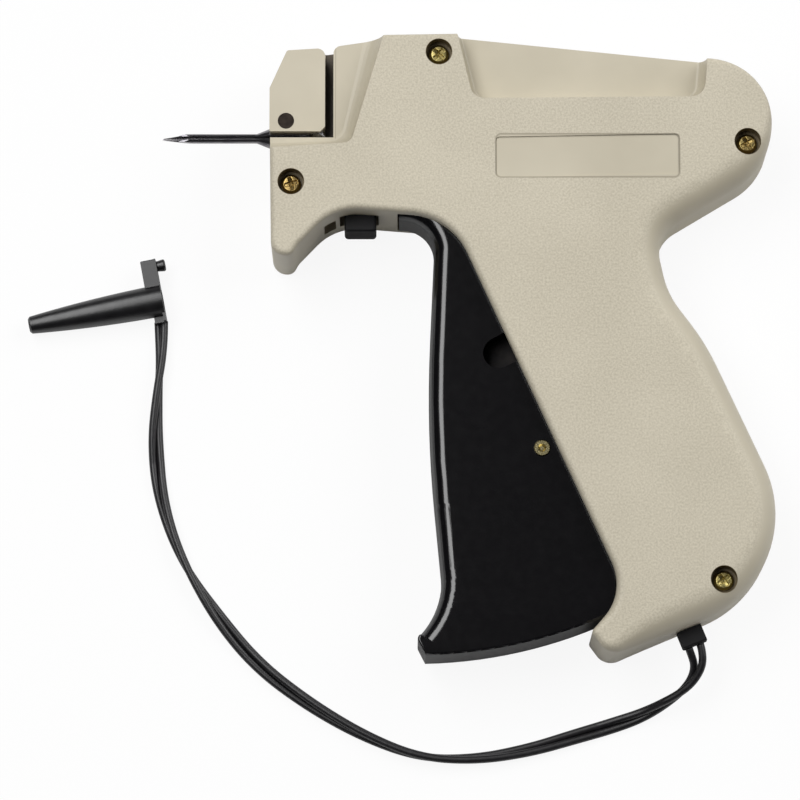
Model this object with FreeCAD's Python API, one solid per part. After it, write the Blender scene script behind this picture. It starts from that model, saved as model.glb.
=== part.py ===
"""Garment tag attacher, lying on its side, in millimetres.

The gun lies on the outer face of its right shell: that face is z = 0, and the left shell faces up.
x runs from the needle (-x) to the back of the housing (+x), y from the foot of the grip up to the top edge.
Squeezing the trigger turns it about a pivot behind the nose. A pin in its flanks swings the drive lever,
whose upper end pushes the carriage and its push rod forward through the slotted needle.
"""
import FreeCAD
import Part
import math
import os

V = FreeCAD.Vector

# ---------------------------------------------------------------- driving dimensions
THICK = 26.0            # whole housing, outer face to outer face
MID = THICK / 2         # parting plane of the two shells
WALL = 2.4              # shell wall
STEP = 6.0              # how far the smooth zones lie under the grained faces
SOFT_EDGE = 7.0         # round-over along the back of the grip
CRISP_EDGE = 1.5        # round-over elsewhere
INNER_EDGE = 0.5        # least round-over of the hollow

NOSE_X = -49.75         # front of the nose
REAR_X = 76.1           # back of the housing
TOP_Y = 78.1            # top edge of the housing
FOOT_Y = -78.6          # lowest point of the grip and of the trigger

RUN_GAP = 0.05          # radial clearance of a pin that turns in its bore
SEAT_GAP = 0.02         # radial clearance of a pin that stays in its seat
SLIDE_GAP = 0.25        # clearance of a sliding block in its guide

NEEDLE_Y = 53.2         # axis of needle, push rod and carriage
NEEDLE_Z = MID + 2.4

# trigger and its linkage
PIVOT = (-13.2, 39.3)           # trigger pivot
TRIGGER_TRAVEL = 22.0           # degrees, rest to squeezed
TRIGGER_HALF = 9.0              # half the width of the trigger
TRIGGER_WALL = 2.2
RIVET_HEAD = 0.3                # the link pin's heads stand out of the trigger
LINK_RADIUS = 73.3              # pivot to link pin
LINK_ANGLE = 25.4               # link pin, degrees behind the straight line down from the pivot
FULCRUM = (22.4, 8.6)           # fixed fulcrum of the drive lever
LEVER_THICK = 4.0
PIN_R = 2.0                     # pivot and fulcrum pins
LINK_PIN_R = 1.6
DRIVE_PIN_R = 1.5
FULCRUM_BOSS_R = 3.4
TRACK_GAP = 0.2                 # clearance of a pin in a curved track
CARRIAGE_LENGTH = 22.0
CARRIAGE_HEIGHT = 10.0
ROD_R = 0.6

# nose: needle, feed slot and needle lock
SLOT_LEFT = -35.8               # feed slot, open towards the left side
SLOT_RIGHT = -33.7
SLOT_ROUND = 2.0                # of the two corners at its top
SLIT_LOW = 52.5                 # slit that runs forward from the feed slot, along the needle
SLIT_HIGH = 54.1
CHAMBER = (-39.6, -30.0)        # room for the tag ends behind the needle
CHAMBER_HALF = 0.8
GROOVE_FLOOR = MID - 0.6
NEEDLE_R = 1.2
NEEDLE_BORE = 0.8
NEEDLE_BASE_R = 2.5
NEEDLE_TIP_X = -76.8
NEEDLE_SLOT = 0.9
LOCK = (-45.6, 56.8)            # needle lock shaft
LOCK_R = 2.0
GUIDE_R = 2.0                   # bush that guides the push rod
NOSE_WEB_X = -19.4              # the nose is solid in front of this

# feed
WHEEL = (-29.3, 46.5)
WHEEL_TEETH = 8
STAR_R = 4.9
RATCHET_R = 4.3
WHEEL_PIN_R = 1.2
RELEASE = (-22.9, 40.6)         # pivot of the clip release
RELEASE_PIN_R = 1.1
RELEASE_TRAVEL = 5.0            # degrees

# fasteners and small things
SCREWS = [(-44.2, 39.9), (-7.2, 73.2), (REAR_X - 6.2, 50.2), (REAR_X - 13.3, FOOT_Y + 18.4)]
COUNTERBORE_R = 3.3
COUNTERBORE_DEPTH = 4.2
SCREW_HEAD_R = 2.5
SCREW_HEAD_H = 1.9
SCREW_R = 1.4
SCREW_LENGTH = 15.0
BOSS_WALL = 1.4

ANCHOR_X = 54.55        # where the cord anchor sits on the foot
ANCHOR_OUT = 4.4        # how far it stands out
ANCHOR_HALF = (3.1, 2.4)
ANCHOR_STEM = (2.1, 1.5)
CORD_D = 3.9            # the twin cord, taken as round


# ---------------------------------------------------------------- helpers
def rounded_wire(corners, z):
    """Closed outline through (x, y, r) corners, each rounded with its own radius by a tangent arc."""
    count = len(corners)
    turns = []
    for i in range(count):
        x, y, r = corners[i]
        tip = V(x, y, z)
        back = V(corners[i - 1][0], corners[i - 1][1], z) - tip
        ahead = V(corners[(i + 1) % count][0], corners[(i + 1) % count][1], z) - tip
        back.normalize()
        ahead.normalize()
        half = back.getAngle(ahead) / 2
        if r <= 0:
            turns.append((tip, None, tip))
            continue
        reach = r / math.tan(half)
        inward = back + ahead
        inward.normalize()
        centre = tip + inward * (r / math.sin(half))
        turns.append((tip + back * reach, centre - inward * r, tip + ahead * reach))
    edges = []
    for i in range(count):
        start, middle, end = turns[i]
        if middle is not None:
            edges.append(Part.Arc(start, middle, end).toShape())
        following = turns[(i + 1) % count][0]
        if (following - end).Length > 1e-6:
            edges.append(Part.LineSegment(end, following).toShape())
    return Part.Wire(edges)


def plate(corners, z0, z1):
    """Flat piece with a rounded outline between two heights."""
    return Part.Face(rounded_wire(corners, z0)).extrude(V(0, 0, z1 - z0))


def box(x0, x1, y0, y1, z0, z1):
    return Part.makeBox(x1 - x0, y1 - y0, z1 - z0, V(x0, y0, z0))


def post(at, r, z0, z1):
    """Cylinder along z."""
    return Part.makeCylinder(r, z1 - z0, V(at[0], at[1], z0), V(0, 0, 1))


def bar(x0, x1, y, z, r):
    """Cylinder along x."""
    return Part.makeCylinder(r, x1 - x0, V(x0, y, z), V(1, 0, 0))


def turned(point, centre, degrees):
    """A point turned about a centre, anticlockwise."""
    a = math.radians(degrees)
    dx = point[0] - centre[0]
    dy = point[1] - centre[1]
    return (centre[0] + dx * math.cos(a) - dy * math.sin(a), centre[1] + dx * math.sin(a) + dy * math.cos(a))


def from_below(centre, radius, degrees):
    """The point at a radius from a centre, degrees anticlockwise from straight down."""
    return turned((centre[0], centre[1] - radius), centre, degrees)


def tapered_link(p, rp, q, rq, z0, z1):
    """Plate shaped like a belt round two circles."""
    dx, dy = q[0] - p[0], q[1] - p[1]
    far = math.hypot(dx, dy)
    lean = math.acos((rp - rq) / far)
    base = math.atan2(dy, dx)
    points = []
    for centre, r, side in ((p, rp, 1), (q, rq, 1), (q, rq, -1), (p, rp, -1)):
        a = base + side * lean
        points.append(V(centre[0] + r * math.cos(a), centre[1] + r * math.sin(a), z0))
    web = Part.Face(Part.makePolygon(points + points[:1])).extrude(V(0, 0, z1 - z0))
    return web.fuse([post(p, rp, z0, z1), post(q, rq, z0, z1)]).removeSplitter()


def curved_track(start, middle, end, half_width, z0, z1):
    """Slot whose middle line is the arc through three points, with round ends."""
    a, m, b = (V(p[0], p[1], z0) for p in (start, middle, end))
    centre = Part.Arc(a, m, b).toShape().Curve.Center
    edges = []

    def out(point, offset):
        ray = point - centre
        return centre + ray * ((ray.Length + offset) / ray.Length)

    def past(point, neighbour):
        along = V(0, 0, 1).cross(point - centre)
        along.normalize()
        if along.dot(neighbour - point) > 0:
            along = along * -1
        return point + along * half_width

    edges.append(Part.Arc(out(a, half_width), out(m, half_width), out(b, half_width)).toShape())
    edges.append(Part.Arc(out(b, half_width), past(b, a), out(b, -half_width)).toShape())
    edges.append(Part.Arc(out(b, -half_width), out(m, -half_width), out(a, -half_width)).toShape())
    edges.append(Part.Arc(out(a, -half_width), past(a, b), out(a, half_width)).toShape())
    return Part.Face(Part.Wire(edges)).extrude(V(0, 0, z1 - z0))


def wound_wire(points, wire_r, leg_in=None, leg_out=None):
    """Round wire through points of a winding, with a straight leg at either end where one is given."""
    winding = Part.BSplineCurve()
    winding.interpolate(points)
    edges = [winding.toShape()]
    start, way = points[0], winding.tangent(winding.FirstParameter)[0]
    if leg_in is not None:
        edges.insert(0, Part.LineSegment(leg_in, points[0]).toShape())
        start, way = leg_in, points[0] - leg_in
    if leg_out is not None:
        edges.append(Part.LineSegment(points[-1], leg_out).toShape())
    section = Part.Wire(Part.makeCircle(wire_r, start, way))
    return Part.Wire(edges).makePipeShell([section], True, False)


def eased(share):
    """Share of a winding's height at a share of its turns: the end turns lie flat."""
    return share * share * (3 - 2 * share)


# ---------------------------------------------------------------- linkage worked out from the driving dimensions
LINK = from_below(PIVOT, LINK_RADIUS, LINK_ANGLE)


def bearing_from_fulcrum(point):
    return math.degrees(math.atan2(point[1] - FULCRUM[1], point[0] - FULCRUM[0]))


LEVER_TRAVEL = bearing_from_fulcrum(turned(LINK, PIVOT, TRIGGER_TRAVEL)) - bearing_from_fulcrum(LINK)
ARM_HEIGHT = NEEDLE_Y - FULCRUM[1]
DRIVE_REST_X = FULCRUM[0] + ARM_HEIGHT * math.tan(math.radians(LEVER_TRAVEL / 2))
STROKE = 2 * (DRIVE_REST_X - FULCRUM[0])
SWEEP_R = PIVOT[1] - FOOT_Y          # the foot of the trigger is an arc about the pivot


def link_in_lever(share):
    """Link pin seen from the drive lever, at a share of the travel."""
    return turned(turned(LINK, PIVOT, TRIGGER_TRAVEL * share), FULCRUM, -LEVER_TRAVEL * share)


def drive_in_lever(share):
    """Drive pin of the carriage seen from the drive lever, at a share of the travel."""
    return turned((DRIVE_REST_X - STROKE * share, NEEDLE_Y), FULCRUM, -LEVER_TRAVEL * share)


# ---------------------------------------------------------------- housing
BODY = [
    (NOSE_X, 65.3, 0.6), (NOSE_X + 4.35, 75.0, 0.8), (-35.0, 75.7, 6.0), (-20.7, TOP_Y - 0.3, 4.0), (-2.4, TOP_Y, 6.0),
    (REAR_X - 17.5, TOP_Y - 6.3, 1.0), (REAR_X, TOP_Y - 6.9, 16.5), (REAR_X, 44.9, 17.8),
    (REAR_X - 29.4, 27.2, 9.0), (REAR_X - 26.2, 12.4, 22.0), (REAR_X - 16.9, 0.0, 60.0),
    (REAR_X + 9.9, FOOT_Y + 20.3, 28.6), (34.3, FOOT_Y - 0.5, 4.5), (30.0, FOOT_Y + 5.4, 1.2),
    (38.6, FOOT_Y + 15.4, 12.5), (-4.3, 31.2, 16.5), (-33.3, 33.5, 14.0), (-42.6, 23.8, 5.0),
    (-44.0, 21.2, 2.2), (NOSE_X + 0.65, 21.2, 3.6),
]

# smooth zones: each outline is given on its floor and at the grained face above it
FRONT_ZONE_FLOOR = [(-70.0, 51.0, 0.0), (-31.8, 52.0, 4.4), (-23.2, 90.0, 0.0), (-70.0, 90.0, 0.0)]
FRONT_ZONE_RIM = [(-70.0, 47.3, 0.0), (-29.2, 49.9, 2.6), (-17.4, 90.0, 0.0), (-70.0, 90.0, 0.0)]
REAR_ZONE_FLOOR = [(-4.2, 90.0, 0.0), (2.5, 62.6, 3.0), (REAR_X - 19.1, 62.9, 3.0), (REAR_X - 16.5, 90.0, 0.0)]
REAR_ZONE_RIM = [(-5.4, 90.0, 0.0), (1.3, 61.2, 3.6), (REAR_X - 16.9, 61.7, 3.6), (REAR_X - 14.3, 90.0, 0.0)]
ZONE_RISES = (0, 0.02, 0.08, 0.18, 0.32, 0.5, 0.72, 1.0, 1.2)   # shares of the step at which its wall is drawn
ROOM_UNDER_FRONT = [(-70, 47.7, 0), (-26.4, 47.7, 0), (-18.0, 90, 0), (-70, 90, 0)]
ROOM_UNDER_REAR = [(-7.2, 90, 0), (-1.0, 59.2, 3), (REAR_X - 14.3, 59.2, 3), (REAR_X - 12.3, 90, 0)]
MOUTH_X = -17.6         # front end of the trigger mouth
RAIL_THICK = 1.5
NOSE_BLOCK = [(NOSE_X, SLIT_HIGH, 0.3), (NOSE_X, 65.3, 0.6), (NOSE_X + 4.35, 75.0, 0.8), (SLOT_LEFT, 75.6, SLOT_ROUND),
              (SLOT_LEFT, SLIT_HIGH + 1.2, 0), (SLOT_LEFT - 1.2, SLIT_HIGH, 0)]
GUIDE_FRONT = -28.4
LABEL = [(6.9, 40.9, 1.0), (6.9, 51.3, 1.0), (52.9, 52.1, 1.0), (52.9, 41.7, 1.0)]
LABEL_DEPTH = 0.4
RELEASE_HUB_R = 2.4
TAB = [(-30.9, 28.8, 0.9), (-22.9, 28.8, 0.9), (-22.9, 36.0, 0), (-30.9, 36.0, 0)]
TAB_HALF = 5.0
TAB_NOTCH = [(-32.1, 25, 0), (-22.3, 25, 0), (-22.3, 37.0, 0), (-32.1, 37.0, 0)]
STRIP_WAY = [(-36.0, 25, 0), (-33.1, 25, 0), (-33.1, 36.2, 0), (-36.0, 36.2, 0)]   # the tag strip's way out
RELEASE_ROOM = [(-30.2, 36, 0), (-21.6, 36, 0), (-20.2, 41.5, 0), (-21.6, 47.6, 0), (-26.0, 47.6, 0),
                (-27.0, 44.6, 0), (-30.2, 39.4, 0)]
FINGER_R = 12.85
KNIFE_SEAT = [(-39.2, SLIT_HIGH - 0.1, 0), (-36.4, SLIT_HIGH - 0.1, 0), (-36.4, 57.5, 0), (-39.2, 57.5, 0)]
KNIFE_Z = (NEEDLE_Z + 1.6, NEEDLE_Z + 3.2)


def edge_radius(p):
    """Round-over of the outline at a point of it: soft behind the grip, crisp elsewhere."""
    if p.x > REAR_X - 32.1 and p.y > 58:
        return CRISP_EDGE
    if p.x > REAR_X - 16.1 and p.y > 40:
        return CRISP_EDGE + (SOFT_EDGE - CRISP_EDGE) * (58 - p.y) / 18
    if p.x > REAR_X - 32.1 and p.y > FOOT_Y + 20:
        return SOFT_EDGE
    if p.y < FOOT_Y + 20 and p.x > 32:
        return CRISP_EDGE + (SOFT_EDGE - CRISP_EDGE) * min(1.0, (p.x - 32) / 16)
    return CRISP_EDGE


def round_over(block, face_z, radius_at):
    """Round the edges of a plate's face with a radius that follows the outline; none where it is zero at an end."""
    doc = FreeCAD.newDocument("housing")
    base = doc.addObject("Part::Feature", "block")
    base.Shape = block
    fillet = doc.addObject("Part::Fillet", "round_over")
    fillet.Base = base
    radii = []
    for number, edge in enumerate(block.Edges, 1):
        if edge.BoundBox.ZMin > face_z - 1e-6:
            ends = [radius_at(edge.valueAt(t)) for t in (edge.FirstParameter, edge.LastParameter)]
            if min(ends) > 0:
                radii.append((number, ends[0], ends[1]))
    fillet.Edges = radii
    doc.recompute()
    shape = fillet.Shape.copy()
    FreeCAD.closeDocument(doc.Name)
    return shape


def zone_cutter(floor, rim):
    """Space above a smooth zone: its walls leave the floor in a hollow quarter curve and end steep at the top."""
    sections = []
    for rise in ZONE_RISES:
        out = math.sqrt(1 - max(0.0, 1 - rise) ** 2)
        outline = [tuple(a + (b - a) * out for a, b in zip(low, top)) for low, top in zip(floor, rim)]
        sections.append(rounded_wire(outline, THICK - STEP + STEP * rise))
    return Part.makeLoft(sections, True, True)


def housing_form():
    """Outer form of the left half, with its round-overs and both smooth zones."""
    form = round_over(plate(BODY, MID, THICK), THICK, edge_radius)
    return form.cut([zone_cutter(FRONT_ZONE_FLOOR, FRONT_ZONE_RIM), zone_cutter(REAR_ZONE_FLOOR, REAR_ZONE_RIM)])


def housing_room():
    """Hollow of the left half: the outline drawn in by the wall, lower under the smooth zones."""
    inner_face = THICK - WALL
    outline = Part.Face(rounded_wire(BODY, MID)).makeOffset2D(-WALL)
    room = outline.extrude(V(0, 0, inner_face - MID)).common(box(NOSE_WEB_X, REAR_X, FOOT_Y, TOP_Y, MID, THICK))
    room = round_over(room, inner_face, lambda p: max(INNER_EDGE, edge_radius(p) - WALL))
    roof = THICK - STEP - WALL
    return room.cut([plate(ROOM_UNDER_FRONT, roof, THICK), plate(ROOM_UNDER_REAR, roof, THICK)])


def trigger_mouth():
    """Mouth along the front edge of the grip, which the trigger passes through."""
    roof = PIVOT[1] + 4.0
    upper, lower = V(BODY[15][0], BODY[15][1], 0), V(BODY[14][0], BODY[14][1], 0)
    down = (lower - upper).normalize()
    inward = V(-down.y, down.x, 0) * (WALL + 3)
    start, end = upper + inward, lower + inward + down * 20
    start = start + down * ((roof - start.y) / down.y)
    mouth = plate([(MOUTH_X, roof, 0), (start.x, start.y, 0), (end.x, end.y, 0), (MOUTH_X, end.y, 0)],
                  MID - 1, MID + TRIGGER_HALF + RIVET_HEAD + 0.4)
    return mouth.common(post(PIVOT, SWEEP_R + 0.6, MID - 1, THICK))


def housing_bosses():
    """Pillars round the screws and the two fixed pins, and the rails of the carriage."""
    inner_face = THICK - WALL
    bosses = [post(at, COUNTERBORE_R + BOSS_WALL, MID, inner_face + 0.5) for at in SCREWS]
    bosses.append(post(PIVOT, PIN_R + BOSS_WALL, MID + TRIGGER_HALF + 0.3, inner_face + 0.5))
    bosses.append(post(FULCRUM, FULCRUM_BOSS_R, MID + LEVER_THICK / 2 + 0.3, inner_face + 0.5))
    low, high = NEEDLE_Y - CARRIAGE_HEIGHT / 2 - SLIDE_GAP, NEEDLE_Y + CARRIAGE_HEIGHT / 2 + SLIDE_GAP
    rail_start, rail_end = DRIVE_REST_X - STROKE - CARRIAGE_LENGTH / 2 - 1, DRIVE_REST_X + CARRIAGE_LENGTH / 2 + 1
    rail_z = MID + LEVER_THICK / 2 + 1.4
    bosses.append(box(rail_start, rail_end, low - RAIL_THICK, low, rail_z, inner_face + 0.5))
    bosses.append(box(rail_start, rail_end, high, high + RAIL_THICK, rail_z, inner_face + 0.5))
    return bosses


def pin_seats():
    """Blind holes for the ends of the pins that both shells hold."""
    end = THICK - WALL + 1.0
    return [post(at, PIN_R + SEAT_GAP, MID - 1, end) for at in (PIVOT, FULCRUM)]


def half_housing():
    """What both shells share, drawn as the left one."""
    form = housing_form()
    shell = form.cut([housing_room(), trigger_mouth()])
    pillars = [piece.common(form) for piece in housing_bosses()]
    return shell.fuse(pillars).cut(pin_seats())


def nose_pockets():
    """Cut through both shells: needle seat, tag chamber, feed groove, feed wheel, release lever, push rod."""
    top = TOP_Y + 5
    roof, floor = THICK - STEP - WALL, STEP + WALL
    cuts = [bar(NOSE_X - 1, CHAMBER[0] + 0.2, NEEDLE_Y, NEEDLE_Z, NEEDLE_BASE_R + RUN_GAP)]
    cuts.append(box(CHAMBER[0], CHAMBER[1], NEEDLE_Y - 0.9, top, NEEDLE_Z - CHAMBER_HALF, NEEDLE_Z + CHAMBER_HALF))
    cuts.append(box(SLOT_LEFT, SLOT_RIGHT, SLIT_LOW, top, GROOVE_FLOOR, THICK))
    cuts.append(box(SLOT_LEFT, SLOT_RIGHT, 25, SLIT_LOW + 1, GROOVE_FLOOR, MID + 1.8))
    cuts.append(plate(STRIP_WAY, MID - 6.5, MID + 3.0))
    shoulder = (SLOT_RIGHT + SLOT_ROUND, 76.15 - SLOT_ROUND)
    square = box(SLOT_RIGHT - 0.1, shoulder[0], shoulder[1], top, GROOVE_FLOOR, THICK)
    cuts.append(square.cut(post(shoulder, SLOT_ROUND, 0, THICK + 1)))
    cuts.append(bar(CHAMBER[1] - 1, NOSE_WEB_X + 1, NEEDLE_Y, NEEDLE_Z, ROD_R + 0.15))
    cuts.append(bar(GUIDE_FRONT, NOSE_WEB_X + 1, NEEDLE_Y, NEEDLE_Z, GUIDE_R + SEAT_GAP))
    cuts.append(post(WHEEL, STAR_R + 0.5, floor, roof))
    cuts.append(post(WHEEL, WHEEL_PIN_R + SEAT_GAP, floor - 2.5, roof + 1.2))
    cuts.append(post(RELEASE, RELEASE_HUB_R + 0.5, floor, MID + 1.8))
    cuts.append(post(RELEASE, RELEASE_PIN_R + SEAT_GAP, floor - 2.5, MID + 1.8))
    cuts.append(plate(RELEASE_ROOM, floor, MID + 1.8))
    cuts.append(plate(TAB_NOTCH, min(floor, MID - TAB_HALF - 0.6), MID + TAB_HALF + 0.6))
    finger_room = post(PIVOT, FINGER_R + 0.4, MID + 1.9, roof).common(box(-27.6, -17, 38, 47.4, MID, THICK))
    cuts.append(finger_room)
    return cuts


def along_foot(u0, u1, v0, v1, half_z):
    """Block at the cord anchor: u runs along the foot, v out of it."""
    start, end = V(BODY[12][0], BODY[12][1], 0), V(BODY[11][0], BODY[11][1], 0)
    slope = end - start
    origin = start + slope * ((ANCHOR_X - start.x) / slope.x)
    block = box(u0, u1, -v1, -v0, MID - half_z, MID + half_z)
    block.rotate(V(0, 0, 0), V(0, 0, 1), math.degrees(math.atan2(slope.y, slope.x)))
    block.translate(origin)
    return block


def anchor_hole():
    half_u, half_z = ANCHOR_STEM
    return along_foot(-half_u - 0.1, half_u + 0.1, -WALL - 2, 2, half_z + 0.1)


def left_shell(half, pockets):
    """Upper shell: screw heads, bare label recess, and a corner left open for the feed slot and needle slit."""
    corner = box(NOSE_X - 20, SLOT_RIGHT, SLIT_LOW, TOP_Y + 20, MID - 1, THICK + 1)
    cuts = [corner, anchor_hole()] + pockets
    for at in SCREWS:
        cuts.append(post(at, COUNTERBORE_R, THICK - COUNTERBORE_DEPTH, THICK + 1))
        cuts.append(post(at, SCREW_R + 0.2, MID - 1, THICK))
    cuts.append(plate(LABEL, THICK - LABEL_DEPTH, THICK + 1))
    return half.cut(cuts)


def right_shell(half, pockets):
    """Lower shell: the mirror image, with the full-thickness block in front of the feed slot."""
    shell = half.mirror(V(0, 0, MID), V(0, 0, 1))
    block = plate(NOSE_BLOCK, MID - 1, THICK - STEP)
    shell = shell.fuse([block, post(SPRING_POST, SPRING_POST_R, WALL - 0.5, MID - 3)])
    cuts = [anchor_hole()] + pockets
    cuts.append(post(LOCK, LOCK_R + RUN_GAP, -1, THICK))
    cuts.append(plate(KNIFE_SEAT, *KNIFE_Z))
    for at in SCREWS:
        cuts.append(post(at, SCREW_R + RUN_GAP, THICK - COUNTERBORE_DEPTH - SCREW_LENGTH - 1, MID + 1))
    return shell.cut(cuts)


# ---------------------------------------------------------------- trigger and linkage
TRIGGER = [
    (MOUTH_X + 0.4, PIVOT[1] - 8.1, 0), (-8.1, PIVOT[1] - 8.1, 8.0), (-10.4, -20.0, 300.0),
    (-6.0, FOOT_Y + 12.2, 20.0), (-12.9, FOOT_Y + 4.3, 1.5), (-10.6, FOOT_Y - 0.2, 0.8), (-9.0, FOOT_Y - 4.0, 0),
    (33.6, FOOT_Y - 4.0, 0), (35.8, FOOT_Y + 9.0, 0), (25.6, -24.0, 12.0), (30.0, 8.6, 6.0), (24.0, 17.5, 6.0),
    (-3.0, 37.8, 6.0),
    (PIVOT[0] + 3.0, PIVOT[1] + 3.0, 0), (MOUTH_X + 0.4, PIVOT[1], 0),
]
TRIGGER_BOSS_R = 5.6
TRIGGER_HUB_R = 4.5
TRIGGER_FRONT_WALL = 3.0
TRIGGER_ROUND = 3.8             # round-over of the finger side
TRIGGER_OPEN = V(7, 5, 0)       # the hollow opens this way
FEED_ARM_ANGLE = 236.0          # from straight down
FEED_ARM_R = 8.6
FEED_ARM_Z = (MID + 2.2, THICK - STEP - WALL - 0.4)
FINGER_HALF = 0.25              # half the thickness of the feed finger
LOBE_R = 4.5                    # lobe of the lever that closes the slots of the trigger at rest
SPRING_WIRE_R = 0.5
SPRING_POST = (48.5, 0.5)       # on the right shell, holds the fixed leg of the return spring
SPRING_POST_R = 1.6
SPRING_LUG = (18.8, -14.0)      # on the lever, carries the moving leg
SPRING_LUG_R = 1.5
ROD_SEAT = 3.4


def trigger_edge_radius(p):
    """Round-over of the trigger's outline: full along the finger side, small round the lip, none at the back."""
    if p.y > PIVOT[1] - 8 or (p.x > 20 and p.y > FOOT_Y + 20):
        return 0
    if p.y < FOOT_Y + 5.5 or p.x > 20:
        return 0.6
    return TRIGGER_ROUND


def trigger():
    """Hollow trigger: rounded finger side, two flanks with a curved slot each, a hub and the feed arm."""
    z0, z1 = MID - TRIGGER_HALF, MID + TRIGGER_HALF
    outline = Part.Face(rounded_wire(TRIGGER, MID))
    reach = Part.Face(Part.Wire(Part.makeCircle(SWEEP_R, V(PIVOT[0], PIVOT[1], MID))))
    outline = outline.common(reach).Faces[0]
    half = round_over(outline.extrude(V(0, 0, TRIGGER_HALF)), z1, trigger_edge_radius)
    half = half.fuse(post(PIVOT, TRIGGER_BOSS_R, MID, z1))
    core = outline.makeOffset2D(-TRIGGER_FRONT_WALL).extrude(V(0, 0, TRIGGER_HALF - TRIGGER_WALL))
    opened = core.copy()
    opened.translate(TRIGGER_OPEN)
    room_over_hub = box(PIVOT[0] - 7, PIVOT[0] + 12, PIVOT[1], PIVOT[1] + 7, MID, z1 - TRIGGER_WALL)
    half = half.cut([core, opened, room_over_hub])
    half = half.fuse(post(PIVOT, TRIGGER_HUB_R, MID, z1 - 0.5))
    arm = tapered_link(PIVOT, 3.4, from_below(PIVOT, FEED_ARM_R, FEED_ARM_ANGLE), 1.3, *FEED_ARM_Z)
    form = half.fuse([half.mirror(V(0, 0, MID), V(0, 0, 1)), arm])
    track = [turned(FULCRUM, PIVOT, -TRIGGER_TRAVEL - 1), turned(FULCRUM, PIVOT, -TRIGGER_TRAVEL / 2),
             turned(FULCRUM, PIVOT, 1)]
    cuts = [curved_track(*track, FULCRUM_BOSS_R + 0.5, z0 - 1, z1 + 1),
            post(PIVOT, PIN_R + RUN_GAP, z0 - 1, z1 + 1),
            post(LINK, LINK_PIN_R + SEAT_GAP, z0 - 1, z1 + 1), feed_finger()]
    return form.cut(cuts).removeSplitter()


def feed_finger():
    """Spring steel strip in the end of the trigger's feed arm, which steps the feed wheel round."""
    root = from_below(PIVOT, FEED_ARM_R - 2.4, FEED_ARM_ANGLE)
    tip = from_below(PIVOT, FINGER_R - FINGER_HALF, FEED_ARM_ANGLE)
    return tapered_link(root, FINGER_HALF + 0.01, tip, FINGER_HALF, FEED_ARM_Z[0] + 0.2, FEED_ARM_Z[1])


def drive_lever():
    """Bent lever: the trigger's link pin works in its lower track, the carriage's drive pin in its upper one."""
    z0, z1 = MID - LEVER_THICK / 2, MID + LEVER_THICK / 2
    lower = [[link_in_lever(share) for share in half] for half in ((0, 0.25, 0.5), (0.5, 0.75, 1))]
    far, quarter, near = (V(*drive_in_lever(share), 0) for share in (0, 0.25, 0.5))
    sideways = quarter.distanceToLine(near, far - near)
    upper = (near.x, near.y), (far.x, far.y)
    low_r, high_r = LINK_PIN_R + TRACK_GAP, DRIVE_PIN_R + TRACK_GAP + sideways
    lever = tapered_link(FULCRUM, 5.6, link_in_lever(0), low_r + 2.4, z0, z1)
    lever = lever.fuse([tapered_link(FULCRUM, 5.6, upper[1], high_r + 1.5, z0, z1),
                        tapered_link(FULCRUM, 5.6, turned(FULCRUM, PIVOT, -TRIGGER_TRAVEL), LOBE_R, z0, z1),
                        post(SPRING_LUG, SPRING_LUG_R, z0 - 2.0, z0)])
    lever = lever.fuse([curved_track(*lower[0], low_r + 2.4, z0, z1),
                        tapered_link(lower[1][0], low_r + 2.4, lower[1][2], low_r + 2.39, z0, z1)])
    lean = 180 - LEVER_TRAVEL / 2
    window = tapered_link(from_below(FULCRUM, 12.0, lean), 2.6, from_below(FULCRUM, 36.0, lean), 1.6, z0 - 1, z1 + 1)
    cuts = [curved_track(*stretch, low_r, z0 - 3, z1 + 1) for stretch in lower]
    cuts.append(tapered_link(upper[0], high_r + 0.01, upper[1], high_r, z0 - 1, z1 + 1))
    cuts.append(post(FULCRUM, PIN_R + RUN_GAP, z0 - 1, z1 + 1))
    return lever.cut(cuts + [window]).removeSplitter()


def tangent_leg(target, offset):
    """Angle at which a wire leaves the coil round the fulcrum, and its run to a point beside the target."""
    radius = FULCRUM_BOSS_R + 0.4 + SPRING_WIRE_R
    dx, dy = target[0] - FULCRUM[0], target[1] - FULCRUM[1]
    far = math.hypot(dx, dy)
    spread = math.degrees(math.acos((radius + abs(offset)) / far))
    angle = math.degrees(math.atan2(dy, dx)) + math.copysign(spread, offset)
    start = turned((FULCRUM[0] + radius, FULCRUM[1]), FULCRUM, angle)
    return angle % 360, V(start[0], start[1], 0), V(math.sin(math.radians(angle)), -math.cos(math.radians(angle)), 0)


def return_spring():
    """Torsion spring round the far fulcrum boss: one leg on the lever's lug, one on the post of the right shell."""
    top = MID - LEVER_THICK / 2 - 0.4 - SPRING_WIRE_R
    bottom = MID - TRIGGER_HALF + TRIGGER_WALL + 0.5 + SPRING_WIRE_R
    fixed_angle, fixed_start, fixed_way = tangent_leg(SPRING_POST, SPRING_POST_R + SPRING_WIRE_R)
    moving_angle, moving_start, moving_way = tangent_leg(SPRING_LUG, -SPRING_LUG_R - SPRING_WIRE_R)
    radius = (fixed_start - V(FULCRUM[0], FULCRUM[1], 0)).Length
    sweep = 720 + moving_angle - fixed_angle
    steps = round(abs(sweep) / 45)
    points = []
    for k in range(steps + 1):
        x, y = turned((FULCRUM[0] + radius, FULCRUM[1]), FULCRUM, fixed_angle + sweep * k / steps)
        points.append(V(x, y, bottom + (top - bottom) * eased(k / steps)))
    return wound_wire(points, SPRING_WIRE_R, points[0] + fixed_way * 29.0, points[-1] - moving_way * 25.0)


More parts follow.
